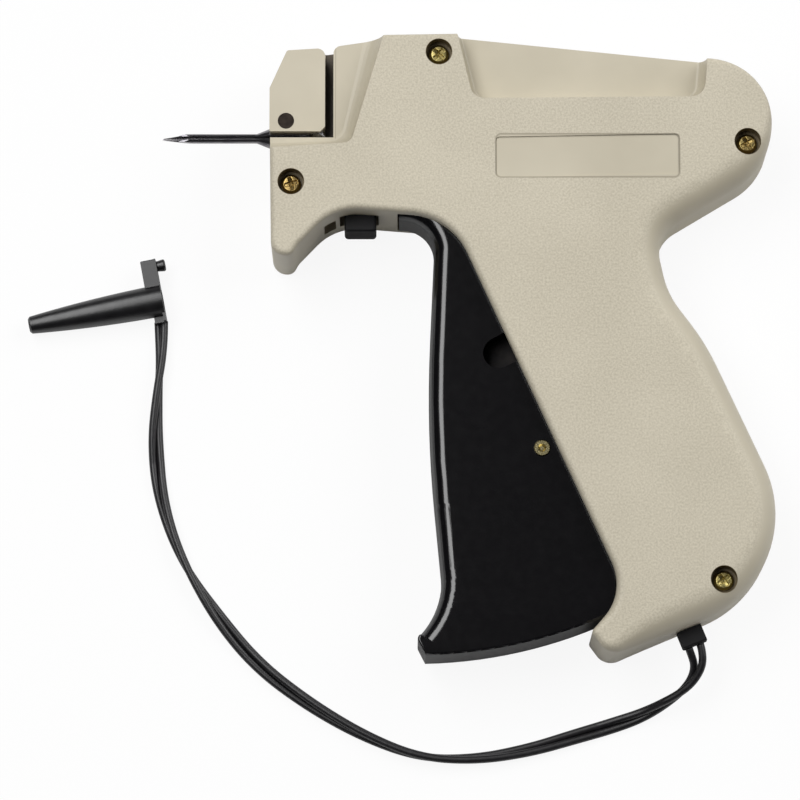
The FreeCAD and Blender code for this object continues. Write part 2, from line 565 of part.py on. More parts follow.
def carriage():
    """Sliding block with an open slot for the lever, a bore for the drive pin and a seat for the push rod."""
    x0, x1 = DRIVE_REST_X - CARRIAGE_LENGTH / 2, DRIVE_REST_X + CARRIAGE_LENGTH / 2
    y0, y1 = NEEDLE_Y - CARRIAGE_HEIGHT / 2, NEEDLE_Y + CARRIAGE_HEIGHT / 2
    side = MID - WALL - 2 * SLIDE_GAP
    block = box(x0, x1, y0, y1, MID - side, MID + side)
    block = block.makeChamfer(0.6, [e for e in block.Edges if e.BoundBox.XLength > CARRIAGE_LENGTH - 1])
    half_slot = LEVER_THICK / 2 + 0.3
    cuts = [box(x0 + 3.8, x1 - 3.0, y0 - 1, y1 + 1, MID - half_slot, MID + half_slot)]
    for z in (MID - side, MID + side):
        for x in (x0 + 2.0, DRIVE_REST_X + 3.0):
            cuts.append(box(x, x + 6.0, y0 + 1.8, y1 - 1.8, z - 4.5, z + 4.5))
    cuts.append(bar(x0 - 1, x0 + ROD_SEAT, NEEDLE_Y, NEEDLE_Z, ROD_R + SEAT_GAP))
    cuts.append(post((DRIVE_REST_X, NEEDLE_Y), DRIVE_PIN_R + SEAT_GAP, 0, THICK))
    return block.cut(cuts)


def push_rod():
    """Steel rod that drives each tag end out through the needle, with a blunt tip."""
    start = CHAMBER[1] + 0.4
    end = DRIVE_REST_X - CARRIAGE_LENGTH / 2 + ROD_SEAT - 0.1
    tip = Part.makeCone(ROD_R - 0.3, ROD_R, 0.6, V(start, NEEDLE_Y, NEEDLE_Z), V(1, 0, 0))
    return bar(start + 0.6, end, NEEDLE_Y, NEEDLE_Z, ROD_R).fuse(tip).removeSplitter()


def round_pin(at, r, z0, z1, chamfer=0.3):
    pin = post(at, r, z0, z1)
    return pin.makeChamfer(chamfer, [edge for edge in pin.Edges if edge.BoundBox.ZLength < 1e-6])


def link_pin():
    """Brass rivet through both flanks of the trigger, hollow at its near end."""
    z0, z1 = MID - TRIGGER_HALF, MID + TRIGGER_HALF
    rivet = post(LINK, LINK_PIN_R, z0, z1)
    for z, rim in ((z0 - RIVET_HEAD, z0 - RIVET_HEAD), (z1, z1 + RIVET_HEAD)):
        head = post(LINK, LINK_PIN_R + 0.5, z, z + RIVET_HEAD)
        head = head.makeFillet(0.2, [e for e in head.Edges if abs(e.BoundBox.ZMax - rim) < 0.01 and
                                     e.BoundBox.ZLength < 1e-6])
        rivet = rivet.fuse(head)
    dimple = Part.makeCone(0.5, 1.1, 0.8, V(LINK[0], LINK[1], z1 + RIVET_HEAD - 0.7), V(0, 0, 1))
    return rivet.cut(dimple).removeSplitter()


# ---------------------------------------------------------------- nose: needle, lock, knife, push rod guide, buffer
NEEDLE_NECK = (-53.0, -69.5)    # where the cone ends, and where the point starts
GUIDE_END = -15.4
BUFFER_R = 3.5
LOCK_FLAT = 1.0                 # flat of the lock shaft, from its axis
LOCK_ARM = 12.0
LOCK_ARM_Z = (STEP - 3.5, STEP - 0.3)


def needle():
    """Slotted steel needle with a spear point; its base is notched for the lock shaft."""
    seat_end, neck, point = CHAMBER[0], NEEDLE_NECK[0], NEEDLE_NECK[1]
    profile = [V(seat_end, 0, 0), V(seat_end, NEEDLE_BASE_R, 0), V(NOSE_X, NEEDLE_BASE_R, 0), V(neck, NEEDLE_R, 0),
               V(NEEDLE_TIP_X, NEEDLE_R, 0), V(NEEDLE_TIP_X, 0, 0)]
    body = Part.Face(Part.makePolygon(profile + profile[:1])).revolve(V(0, 0, 0), V(1, 0, 0), 360)
    body.translate(V(0, NEEDLE_Y, NEEDLE_Z))
    sides = [(seat_end + 1, NEEDLE_Y - 3, 0), (seat_end + 1, NEEDLE_Y + 3, 0), (neck, NEEDLE_Y + 3, 0),
             (neck, NEEDLE_Y + NEEDLE_R, 0), (point, NEEDLE_Y + NEEDLE_R, 14), (NEEDLE_TIP_X, NEEDLE_Y + 0.15, 0),
             (NEEDLE_TIP_X, NEEDLE_Y - 0.15, 0), (point, NEEDLE_Y - NEEDLE_R, 14), (neck, NEEDLE_Y - NEEDLE_R, 0),
             (neck, NEEDLE_Y - 3, 0)]
    body = body.common(plate(sides, NEEDLE_Z - 3, NEEDLE_Z + 3))
    slant = Part.makePolygon([V(point, 0, NEEDLE_Z + 1.3), V(NEEDLE_TIP_X, 0, NEEDLE_Z - 0.9),
                              V(NEEDLE_TIP_X - 1, 0, NEEDLE_Z + 1.3), V(point, 0, NEEDLE_Z + 1.3)])
    slant = Part.Face(slant).extrude(V(0, 2 * NEEDLE_Y, 0))
    cuts = [slant, bar(NEEDLE_TIP_X - 1, seat_end + 1, NEEDLE_Y, NEEDLE_Z, NEEDLE_BORE),
            box(NEEDLE_TIP_X - 1, seat_end + 1, NEEDLE_Y - NEEDLE_SLOT / 2, NEEDLE_Y + NEEDLE_SLOT / 2,
                NEEDLE_Z, NEEDLE_Z + 4), post(LOCK, LOCK_R + RUN_GAP, 0, THICK)]
    return body.cut(cuts)


def needle_lock():
    """Shaft with a flat that holds the needle, turned by an arm on the right side."""
    foot = LOCK_ARM_Z[0] - 0.3
    shaft = post(LOCK, LOCK_R, foot, THICK - STEP + 0.1)
    flat = box(LOCK[0] + LOCK_FLAT, LOCK[0] + LOCK_R + 1, LOCK[1] - 3, LOCK[1] + 3, STEP + 0.4, NEEDLE_Z + 3)
    arm = tapered_link(LOCK, 2.7, (LOCK[0], LOCK[1] + LOCK_ARM), 2.0, *LOCK_ARM_Z)
    grip = post((LOCK[0], LOCK[1] + LOCK_ARM), 1.2, foot - 0.6, LOCK_ARM_Z[0])
    return shaft.cut(flat).fuse([arm, grip]).removeSplitter()


def knife():
    """Small blade under the nose block that cuts each tag off its strip."""
    (x0, y0, _), (x1, y1, _) = KNIFE_SEAT[0], KNIFE_SEAT[2]
    gap = SEAT_GAP
    outline = [(x0 + gap, y1 - gap, 0), (x0 + gap, y0, 0), (x0 + 1.4, SLIT_HIGH, 0), (SLOT_LEFT - 0.1, SLIT_LOW + 0.5, 0),
               (x1 - gap, SLIT_HIGH, 0), (x1 - gap, y1 - gap, 0)]
    return plate(outline, KNIFE_Z[0] + gap, KNIFE_Z[1] - gap)


def rod_guide():
    """Brass bush for the push rod; its end stands out of the web and carries the buffer."""
    bush = bar(GUIDE_FRONT, GUIDE_END, NEEDLE_Y, NEEDLE_Z, GUIDE_R)
    return bush.cut(bar(GUIDE_FRONT - 1, GUIDE_END + 1, NEEDLE_Y, NEEDLE_Z, ROD_R + 0.1))


def carriage_buffer():
    """Rubber ring that stops the carriage at the end of its stroke."""
    end = DRIVE_REST_X - STROKE - CARRIAGE_LENGTH / 2 - 0.3
    ring = bar(NOSE_WEB_X, end, NEEDLE_Y, NEEDLE_Z, BUFFER_R)
    ring = ring.makeFillet(0.8, [edge for edge in ring.Edges if edge.BoundBox.XMin > end - 0.01])
    ring = ring.cut(bar(NOSE_WEB_X - 1, GUIDE_END, NEEDLE_Y, NEEDLE_Z, GUIDE_R))
    return ring.cut(bar(GUIDE_END - 1, end + 1, NEEDLE_Y, NEEDLE_Z, ROD_R + 0.4))


# ---------------------------------------------------------------- feed wheel and clip release
WHEEL_Z = (STEP + WALL + 0.2, THICK - STEP - WALL - 0.2)
STAR_Z = (MID - 0.4, MID + 1.4)
RATCHETS_Z = ((STEP + WALL + 0.6, MID - 1.6), (MID + 2.2, THICK - STEP - WALL - 0.4))
PAWL_GAP = 0.25
PAWL_ANGLE = 88.0
PAWL_TIP_R = 0.4


def toothed_ring(root_r, tip_r, lean, z0, z1):
    """Wheel with one tooth per feed step: a positive lean makes them ratchet teeth, none makes a star."""
    corners = []
    pitch = 360 / WHEEL_TEETH
    for k in range(WHEEL_TEETH):
        corners.append((*from_below(WHEEL, root_r, k * pitch), 0))
        corners.append((*from_below(WHEEL, tip_r, k * pitch + pitch * lean), 0.15))
        corners.append((*from_below(WHEEL, root_r, k * pitch + pitch * 0.9), 0))
    return plate(corners, z0, z1)


def feed_wheel():
    """Star that pulls the tag strip on, between two ratchet rings, on one hub."""
    hub = post(WHEEL, 2.2, *WHEEL_Z)
    wheel = hub.fuse([toothed_ring(2.6, STAR_R, 0.45, *STAR_Z), toothed_ring(3.2, RATCHET_R, 0.8, *RATCHETS_Z[0]),
                      toothed_ring(3.2, RATCHET_R, 0.8, *RATCHETS_Z[1])])
    return wheel.cut(post(WHEEL, WHEEL_PIN_R + RUN_GAP, 0, THICK)).removeSplitter()


def release_lever():
    """Clip release: finger tab under the nose, stem, hub, and a pawl that holds the feed wheel."""
    z0, z1 = STEP + WALL + 0.3, MID + 1.5
    nose = from_below(WHEEL, RATCHET_R + PAWL_GAP + PAWL_TIP_R, PAWL_ANGLE)
    lever = post(RELEASE, RELEASE_HUB_R, z0, z1)
    stem = tapered_link(RELEASE, 1.8, (-25.3, 34.5), 1.79, z0, z1)
    pawl = tapered_link(RELEASE, 1.6, nose, PAWL_TIP_R, *RATCHETS_Z[0])
    tab = plate(TAB, MID - TAB_HALF, MID + TAB_HALF)
    tab = tab.makeFillet(0.7, [e for e in tab.Edges if e.BoundBox.ZLength < 1e-6 and e.BoundBox.YMax < 31])
    lever = lever.fuse([stem, pawl, tab])
    return lever.cut(post(RELEASE, RELEASE_PIN_R + RUN_GAP, 0, THICK)).removeSplitter()


def release_spring():
    """Small compression spring between the stem of the clip release and the nose."""
    x0, x1, r, wire = RELEASE_ROOM[0][0] + 0.25, -27.75, 1.1, 0.2
    steps, turns = 24, 3.0
    points = []
    for k in range(steps + 1):
        a = 2 * math.pi * turns * k / steps
        points.append(V(x0 + (x1 - x0) * k / steps, 37.8 + r * math.cos(a), MID - 1.5 + r * math.sin(a)))
    return wound_wire(points, wire)


# ---------------------------------------------------------------- fasteners
def housing_screw(at):
    """Pan head screw with a cross recess."""
    seat = THICK - COUNTERBORE_DEPTH
    head = post(at, SCREW_HEAD_R, seat, seat + SCREW_HEAD_H)
    head = head.makeFillet(0.9, [e for e in head.Edges if e.BoundBox.ZMin > seat + SCREW_HEAD_H - 0.01])
    shank = post(at, SCREW_R, seat - SCREW_LENGTH + 1.4, seat)
    point = Part.makeCone(0.3, SCREW_R, 1.4, V(at[0], at[1], seat - SCREW_LENGTH), V(0, 0, 1))
    screw = head.fuse([shank, point])
    for turn in (0, 90):
        blade = box(-1.4, 1.4, -0.3, 0.3, seat + 0.8, seat + SCREW_HEAD_H + 1)
        blade.rotate(V(0, 0, 0), V(0, 0, 1), 30 + turn)
        screw = screw.cut(blade.translate(V(at[0], at[1], 0)))
    return screw.removeSplitter()


# ---------------------------------------------------------------- needle cap and its cord
CAP_LENGTH = 34.4
CAP_TIP_R = 2.2
CAP_MIDDLE_R = 3.55
CAP_MOUTH_R = 4.05
CAP_BORE = (2.6, 10.0)          # radius and depth of the straight bore
CAP_MOUTH = (-76.85, 14.05)     # centre of the mouth on the table
CAP_TURN = 10.6                 # degrees from the x axis
CAP_TILT = 2.0                  # degrees that the tip lies lower than the mouth
CORD_SUNK = 0.6                 # the cord's ends are moulded this far into the anchor and the cap


def needle_cap():
    """Tapered cap with a slightly rounded side, a strap, a stud and a block for its cord, lying on the table."""
    tip_bore = NEEDLE_R + 0.2
    tip, mouth = V(0.5, CAP_TIP_R, 0), V(CAP_LENGTH, CAP_MOUTH_R, 0)
    side = Part.Arc(tip, V(CAP_LENGTH / 2, CAP_MIDDLE_R, 0), mouth).toShape()
    inner = [mouth, V(CAP_LENGTH, CAP_BORE[0], 0), V(CAP_LENGTH - CAP_BORE[1], CAP_BORE[0], 0),
             V(CAP_LENGTH - CAP_BORE[1] - 1.5, tip_bore, 0), V(1.5, tip_bore, 0), V(1.5, 0, 0),
             V(0, 0, 0), V(0, CAP_TIP_R - 0.5, 0), tip]
    outline = Part.Wire([side] + Part.makePolygon(inner).Edges)
    cap = Part.Face(outline).revolve(V(0, 0, 0), V(1, 0, 0), 360)
    strap = box(CAP_LENGTH - 0.6, CAP_LENGTH, -5.6, 10.5, -2.0, 2.0)
    tab = box(CAP_LENGTH - 3.9, CAP_LENGTH, 3.0, 10.5, -2.0, 2.0)
    tab = tab.makeFillet(0.4, [e for e in tab.Edges if e.BoundBox.YMin > 10])
    stud = Part.makeCone(1.3, 1.6, 2.2, V(CAP_LENGTH, 8.8, 0), V(1, 0, 0))
    stud = stud.makeFillet(0.5, [e for e in stud.Edges if e.BoundBox.XMin > CAP_LENGTH + 2.1])
    block = box(CAP_LENGTH - 3.0, CAP_LENGTH, -5.6, -2.3, 0.3 - CAP_MOUTH_R, 0.1)
    extra = strap.fuse([tab, stud, block]).cut(bar(CAP_LENGTH - 4, CAP_LENGTH + 1, 0, 0, CAP_BORE[0]))
    cap = cap.fuse(extra).removeSplitter()
    tilt = math.radians(CAP_TILT)
    lift = max(p.y * math.cos(tilt) + (CAP_LENGTH - p.x) * math.sin(tilt) for p in side.discretize(60))
    cap.translate(V(-CAP_LENGTH, 0, 0))
    cap.rotate(V(0, 0, 0), V(0, 1, 0), -CAP_TILT)
    cap.rotate(V(0, 0, 0), V(0, 0, 1), CAP_TURN)
    cap.translate(V(CAP_MOUTH[0], CAP_MOUTH[1], lift))
    return cap


def cord_anchor():
    """Block outside the foot, stem through the seam and flange inside: it holds the cord."""
    (half_u, half_z), (stem_u, stem_z) = ANCHOR_HALF, ANCHOR_STEM
    block = along_foot(-half_u, half_u, 0.05, ANCHOR_OUT, half_z)
    block = block.makeFillet(0.5, [e for e in block.Edges if e.CenterOfMass.y < block.CenterOfMass.y - 1.2])
    stem = along_foot(-stem_u, stem_u, -WALL - 0.5, 0.5, stem_z)
    flange = along_foot(-stem_u - 1.2, stem_u + 1.2, -WALL - 1.6, -WALL - 0.05, stem_z + 1.0)
    return block.fuse([stem, flange]).removeSplitter()


CORD_ROUTE = [
    (56.0, -75.1, 13.0), (56.95, -77.85, 12.3), (56.8, -80.9, 10.9), (54.9, -84.3, 8.8), (50.5, -87.7, 6.1),
    (43.6, -91.1, 3.4), (36.5, -93.5, 2.2), (27.0, -96.3, 1.95), (15.5, -99.8, 1.95), (2.0, -102.2, 1.95),
    (-12.0, -101.8, 1.95), (-26.0, -96.4, 1.95), (-40.0, -88.2, 1.95), (-53.0, -78.2, 1.95), (-63.8, -64.9, 1.95),
    (-72.2, -51.2, 1.95), (-77.2, -36.5, 1.95), (-78.7, -22.0, 1.95), (-78.1, -9.0, 1.95), (-77.1, 1.0, 1.95),
    (-77.36, 8.9, 1.95),
]


def cap_cord():
    """Round tube along the cord's route: straight runs joined by tangent arcs."""
    points = [V(*p) for p in CORD_ROUTE]
    edges, start, radii = [], points[0], []
    for before, corner, after in zip(points, points[1:], points[2:]):
        back, ahead = before - corner, after - corner
        shorter = min(back.Length, ahead.Length)
        back.normalize()
        ahead.normalize()
        half_turn = (math.pi - back.getAngle(ahead)) / 2
        radius = 0.45 * shorter / math.tan(half_turn)
        radii.append(radius)
        inward = back + ahead
        inward.normalize()
        middle = corner + inward * (radius / math.cos(half_turn) - radius)
        first, last = corner + back * (0.45 * shorter), corner + ahead * (0.45 * shorter)
        edges.append(Part.LineSegment(start, first).toShape())
        edges.append(Part.Arc(first, middle, last).toShape())
        start = last
    edges.append(Part.LineSegment(start, points[-1]).toShape())
    path = Part.Wire(edges)
    section = Part.Wire(Part.makeCircle(CORD_D / 2, points[0], points[1] - points[0]))
    tube = path.makePipeShell([section], True, False)
    expected = path.Length * math.pi * CORD_D ** 2 / 4
    print("cord: length %.1f, volume %.1f of %.1f" % (path.Length, tube.Volume, expected))
    print("cord radii:", [round(radius, 1) for radius in radii])
    return tube


# ---------------------------------------------------------------- build
def all_nodes():
    half, pockets = half_housing(), nose_pockets()
    pin_z = (WALL - 0.9, THICK - WALL + 0.9)
    wheel_pin_z = (STEP + WALL - 2.45, THICK - STEP - WALL + 1.15)
    return {
        "left_shell": left_shell(half, pockets), "right_shell": right_shell(half, pockets),
        "trigger": trigger(), "trigger_pivot_pin": round_pin(PIVOT, PIN_R, *pin_z),
        "trigger_link_pin": link_pin(), "drive_lever": drive_lever(),
        "lever_fulcrum_pin": round_pin(FULCRUM, PIN_R, *pin_z), "return_spring": return_spring(),
        "carriage": carriage(),
        "drive_pin": round_pin((DRIVE_REST_X, NEEDLE_Y), DRIVE_PIN_R, MID - 8.0, MID + 8.0),
        "pusher_rod": push_rod(), "rod_guide": rod_guide(), "carriage_buffer": carriage_buffer(),
        "feed_wheel": feed_wheel(), "feed_wheel_pin": round_pin(WHEEL, WHEEL_PIN_R, *wheel_pin_z, 0.2),
        "feed_finger": feed_finger(), "release_lever": release_lever(),
        "release_lever_pin": round_pin(RELEASE, RELEASE_PIN_R, STEP + WALL - 2.45, MID + 1.6, 0.2),
        "release_spring": release_spring(), "needle": needle(), "needle_lock": needle_lock(), "knife": knife(),
        "housing_screws": Part.makeCompound([housing_screw(at) for at in SCREWS]),
        "cord_anchor": cord_anchor(), "cap_cord": cap_cord(), "needle_cap": needle_cap(),
    }


os.makedirs("parts", exist_ok=True)
print("lever travel %.2f degrees, carriage stroke %.2f mm" % (LEVER_TRAVEL, STROKE))
for name, shape in all_nodes().items():
    print("%-18s solids %d  volume %9.1f  valid %s" % (name, len(shape.Solids), shape.Volume, shape.isValid()))
    shape.exportStep("parts/" + name + ".step")
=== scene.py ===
# %% [markdown]
# # Garment tag attacher
#
# A tag attacher pushes a nylon tag through cloth with a hollow needle. This one lies on its right side on a
# white table, with its needle cap beside it on a twin cord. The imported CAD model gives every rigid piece
# its size and its place. This notebook adds what a CAD model lacks: the grain of the plastic, the gloss of
# the trigger, a cord of two strands, screws with threads and cross recesses, and the light of a small
# studio.

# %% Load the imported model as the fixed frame
import math
import bmesh
import bpy
import numpy as np
from mathutils import Matrix, Vector


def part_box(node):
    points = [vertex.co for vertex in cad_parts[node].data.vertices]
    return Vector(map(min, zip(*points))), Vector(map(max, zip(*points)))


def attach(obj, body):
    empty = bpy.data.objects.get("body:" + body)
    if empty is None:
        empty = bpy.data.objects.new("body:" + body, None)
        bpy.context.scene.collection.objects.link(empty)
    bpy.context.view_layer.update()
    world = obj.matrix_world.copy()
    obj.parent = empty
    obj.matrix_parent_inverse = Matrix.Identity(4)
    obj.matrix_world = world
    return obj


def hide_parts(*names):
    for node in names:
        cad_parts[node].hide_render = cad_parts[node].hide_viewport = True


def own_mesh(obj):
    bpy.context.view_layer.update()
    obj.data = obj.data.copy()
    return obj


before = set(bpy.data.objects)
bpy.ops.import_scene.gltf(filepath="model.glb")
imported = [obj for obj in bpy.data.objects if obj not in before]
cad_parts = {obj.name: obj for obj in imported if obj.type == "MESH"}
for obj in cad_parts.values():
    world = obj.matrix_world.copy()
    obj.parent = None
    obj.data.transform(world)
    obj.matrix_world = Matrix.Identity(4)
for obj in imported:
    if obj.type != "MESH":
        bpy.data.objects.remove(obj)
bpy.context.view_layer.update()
scene = bpy.context.scene
scene.view_settings.view_transform = "Standard"
MM = 0.001

# %% [markdown]
# ## The camera
#
# A small product is usually shot from far away with a long lens, so that it shows almost without
# perspective. The camera here is 1.3 m above the table and leans 10.3 degrees, so that it looks a little up
# at the underside of the nose. Its focal length is given as for a sensor 36 mm wide.

# %% Camera
CAMERA_PLACE = (-0.016966, -0.2426, 1.2753)
CAMERA_LEAN = 10.3
FOCAL_MM = 230.94

camera = bpy.data.objects.new("camera", bpy.data.cameras.new("camera"))
scene.collection.objects.link(camera)
camera.data.sensor_width = 36.0
camera.data.lens = FOCAL_MM
camera.data.clip_start, camera.data.clip_end = 0.05, 20.0
camera.location = CAMERA_PLACE
camera.rotation_euler = (math.radians(CAMERA_LEAN), 0.0, 0.0)
scene.camera = camera
print("view across at the table: %.0f mm" % (36.0 / FOCAL_MM * CAMERA_PLACE[2] * 1000))

# %% [markdown]
# ## The twin cord
#
# The cord of the cap is two soft strands that lie against each other and turn slowly, so it looks wide
# where they lie side by side and narrow where one is on the other. Its line could be a chain of arcs, but a
# real cord bends smoothly, so the line is one NURBS spline of order 3 through the route's control points.
# The strands are tubes: each is carried along points read from that spline, at an offset that turns with
# the distance along it.

# %% The line of the cord
ROUTE_MM = [
    (56.0, -75.1, 13.0), (56.95, -77.85, 12.3), (56.8, -80.9, 10.9), (54.9, -84.3, 8.8), (50.5, -87.7, 6.1),
    (43.6, -91.1, 3.4), (36.5, -93.5, 2.2), (27.0, -96.3, 1.95), (15.5, -99.8, 1.95), (2.0, -102.2, 1.95),
    (-12.0, -101.8, 1.95), (-26.0, -96.4, 1.95), (-40.0, -88.2, 1.95), (-53.0, -78.2, 1.95),
    (-63.8, -64.9, 1.95), (-72.2, -51.2, 1.95), (-77.2, -36.5, 1.95), (-78.7, -22.0, 1.95),
    (-78.1, -9.0, 1.95), (-77.1, 1.0, 1.95), (-77.36, 8.9, 1.95),
]


def spline_points(route):
    """Points along one NURBS spline of order 3, which starts and ends at the route's ends, as an array."""
    curve = bpy.data.curves.new("cord_line", "CURVE")
    curve.dimensions = "3D"
    curve.resolution_u = 24
    spline = curve.splines.new("NURBS")
    spline.points.add(len(route) - 1)
    spline.points.foreach_set("co", np.column_stack([route, np.ones(len(route))]).ravel())
    spline.order_u = 3
    spline.use_endpoint_u = True
    line = bpy.data.objects.new("cord_line", curve)
    sampled = bpy.data.meshes.new_from_object(line)
    points = np.empty(len(sampled.vertices) * 3)
    sampled.vertices.foreach_get("co", points)
    bpy.data.objects.remove(line)
    bpy.data.meshes.remove(sampled)
    return points.reshape(-1, 3)


def even_steps(points, step):
    """The same line with points a step apart: each coordinate is interpolated on the length run so far."""
    run = np.concatenate([[0.0], np.cumsum(np.linalg.norm(np.diff(points, axis=0), axis=1))])
    at = np.linspace(0.0, run[-1], int(round(run[-1] / step)) + 1)
    return np.column_stack([np.interp(at, run, points[:, k]) for k in range(3)]), at


cord_line, cord_run = even_steps(spline_points(np.array(ROUTE_MM) * MM), 0.5 * MM)
print("cord: %.1f mm in %d points" % (cord_run[-1] * 1000, len(cord_line)))

# %% Helpers that turn arrays into a mesh


def grid_faces(rows, columns, around=False):
    """Quads between neighbouring rows and columns of points; around joins the last column to the first."""
    last_column = columns if around else columns - 1
    row, column = np.meshgrid(np.arange(rows - 1), np.arange(last_column), indexing="ij")
    right = (column + 1) % columns
    return np.stack([row * columns + column, row * columns + right,
                     (row + 1) * columns + right, (row + 1) * columns + column], axis=-1).reshape(-1, 4)


def new_piece(name, points, quads, triangles=(), smooth=True):
    """A mesh object at the origin from an array of points, quads and any triangles."""
    corners = np.concatenate([np.ravel(quads), np.ravel(triangles)]).astype(np.int32)
    sizes = np.concatenate([np.full(len(quads), 4), np.full(len(triangles), 3)]).astype(np.int32)
    mesh = bpy.data.meshes.new(name)
    mesh.vertices.add(len(points))
    mesh.vertices.foreach_set("co", np.ravel(points))
    mesh.loops.add(len(corners))
    mesh.loops.foreach_set("vertex_index", corners)
    mesh.polygons.add(len(sizes))
    mesh.polygons.foreach_set("loop_start", np.concatenate([[0], np.cumsum(sizes)[:-1]]).astype(np.int32))
    mesh.polygons.foreach_set("use_smooth", np.full(len(sizes), smooth))
    mesh.update(calc_edges=True)
    mesh.validate()
    piece = bpy.data.objects.new(name, mesh)
    scene.collection.objects.link(piece)
    print("%s: %d points, %d faces" % (name, len(points), len(sizes)))
    return piece


# %% The two strands
STRAND_R = 0.98 * MM
STRAND_APART = 0.97 * MM          # from the cord's line to the middle of a strand, where they touch
EXIT_APART = 1.5 * MM             # the same where they leave the anchor
JOINED_AFTER = 9 * MM
TURN_AT_MM = [0, 8, 35, 78, 118, 140, 158, 178, 203, 226]      # run along the cord ...
TURN_DEGREES = [0, 60, 180, 262, 330, 372, 450, 500, 610, 700]  # ... and how far the pair has turned there
STRAND_SIDES = 16


def smooth_step(x):
    """3x^2 - 2x^3 between 0 and 1, flat outside."""
    x = np.clip(x, 0.0, 1.0)
    return x * x * (3 - 2 * x)


def directions(line):
    """Unit vectors along a line, to its left on the table, and up from both."""
    along = np.gradient(line, axis=0)
    along /= np.linalg.norm(along, axis=1)[:, None]
    left = np.cross([0.0, 0.0, 1.0], along)
    left /= np.linalg.norm(left, axis=1)[:, None]
    return along, left, np.cross(along, left)


def strand(line, run, side):
    """Tube round the line plus side * apart * (left * cos t + up * sin t), where t is the turn at that run.
    Where the pair lies flat on the table, it is lowered until the strands rest on it."""
    turn = np.interp(run * 1000, TURN_AT_MM, TURN_DEGREES)
    turn = np.radians(np.convolve(np.pad(turn, 12, "edge"), np.ones(25) / 25, "valid"))
    apart = EXIT_APART + (STRAND_APART - EXIT_APART) * smooth_step(run / JOINED_AFTER)
    _, left, up = directions(line)
    offset = left * np.cos(turn)[:, None] + up * np.sin(turn)[:, None]
    centre = line + side * apart[:, None] * offset
    lowest = line[:, 2] - apart * np.abs(np.sin(turn)) - STRAND_R
    centre[:, 2] -= lowest * smooth_step((6 * MM - line[:, 2]) / (4 * MM))
    _, left, up = directions(centre)
    angle = np.linspace(0, 2 * math.pi, STRAND_SIDES, endpoint=False)
    ring = left[:, None, :] * np.cos(angle)[None, :, None] + up[:, None, :] * np.sin(angle)[None, :, None]
    return centre[:, None, :] + STRAND_R * ring


tubes = [strand(cord_line, cord_run, side) for side in (1, -1)]
rows = len(cord_line)
points, quads, caps = [], [], []
for number, tube in enumerate(tubes):
    first = number * (rows * STRAND_SIDES + 2)
    ends = tube[[0, -1]].mean(axis=1)
    points += [tube.reshape(-1, 3), ends]
    quads.append(grid_faces(rows, STRAND_SIDES, around=True) + first)
    k = np.arange(STRAND_SIDES)
    following = (k + 1) % STRAND_SIDES
    start_hub, end_hub = first + rows * STRAND_SIDES, first + rows * STRAND_SIDES + 1
    last = first + (rows - 1) * STRAND_SIDES
    caps.append(np.column_stack([np.full(STRAND_SIDES, start_hub), first + k, first + following])[:, ::-1])
    caps.append(np.column_stack([np.full(STRAND_SIDES, end_hub), last + k, last + following]))
twin_cord = new_piece("twin_cord", np.concatenate(points), np.concatenate(quads), np.concatenate(caps))

# %% The cord's own map: u runs along it in metres, v once round each strand


def map_along(piece, run, sides, tubes_in_piece):
    """UV map from the grid: u is the run, v the share of the way round, with the last quad's v up to 1."""
    layer = piece.data.uv_layers.new(name="along")
    vertex = np.empty(len(piece.data.loops), dtype=np.int32)
    piece.data.loops.foreach_get("vertex_index", vertex)
    size = len(run) * sides + 2
    inside = vertex % size
    row, column = np.minimum(inside // sides, len(run) - 1), inside % sides
    share = column / sides
    quads_end = (len(run) - 1) * sides * tubes_in_piece * 4
    per_face = share[:quads_end].reshape(-1, 4)
    crossing = per_face.max(axis=1) - per_face.min(axis=1) > 0.5
    per_face[crossing] = np.where(per_face[crossing] < 0.5, per_face[crossing] + 1.0, per_face[crossing])
    layer.data.foreach_set("uv", np.column_stack([run[row], share]).astype(np.float32).ravel())


map_along(twin_cord, cord_run, STRAND_SIDES, 2)
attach(twin_cord, "housing")
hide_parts("cap_cord")

# %% [markdown]
# ## Small helpers for materials
#
# Colours are written as on a paint card, in sRGB hex, and turned to linear light by one function. Nodes are
# added by one function too: it sets the node's own properties, and each input is either a value or another
# node's output.

# %% Colour and node helpers


def linear(colour):
    """sRGB hex to linear RGBA: a channel up to 0.04045 is divided by 12.92, and a higher one becomes
    ((c + 0.055) / 1.055)^2.4."""
    channels = [int(colour[k:k + 2], 16) / 255 for k in (1, 3, 5)]
    return tuple(c / 12.92 if c <= 0.04045 else ((c + 0.055) / 1.055) ** 2.4 for c in channels) + (1.0,)


def add(tree, kind, inputs=None, **settings):
    """Adds a node: settings are its properties, inputs its sockets by name or number."""
    made = tree.nodes.new(kind)
    for name, value in settings.items():
        setattr(made, name, value)
    for socket, value in (inputs or {}).items():
        if isinstance(value, bpy.types.NodeSocket):
            tree.links.new(value, made.inputs[socket])
        else:
            made.inputs[socket].default_value = value
    return made


def new_material(name):
    """An empty node material and its tree."""
    material = bpy.data.materials.new(name)
    material.use_nodes = True
    material.node_tree.nodes.clear()
    return material, material.node_tree


def two_tones(tree, pattern, low, high, first, second):
    """The first colour where the pattern is low, the second where it is high, a straight blend between."""
    share = add(tree, "ShaderNodeMapRange", {"Value": pattern, "From Min": low, "From Max": high})
    return add(tree, "ShaderNodeMix", {"Factor": share.outputs[0], 6: linear(first), 7: linear(second)},
               data_type="RGBA").outputs[2]


def finish_surface(tree, **inputs):
    """The Principled shader and the output, with its inputs by name (underscores stand for spaces)."""
    values = {key.replace("_", " "): value for key, value in inputs.items()}
    shader = add(tree, "ShaderNodeBsdfPrincipled", values)
    add(tree, "ShaderNodeOutputMaterial", {"Surface": shader.outputs["BSDF"]})


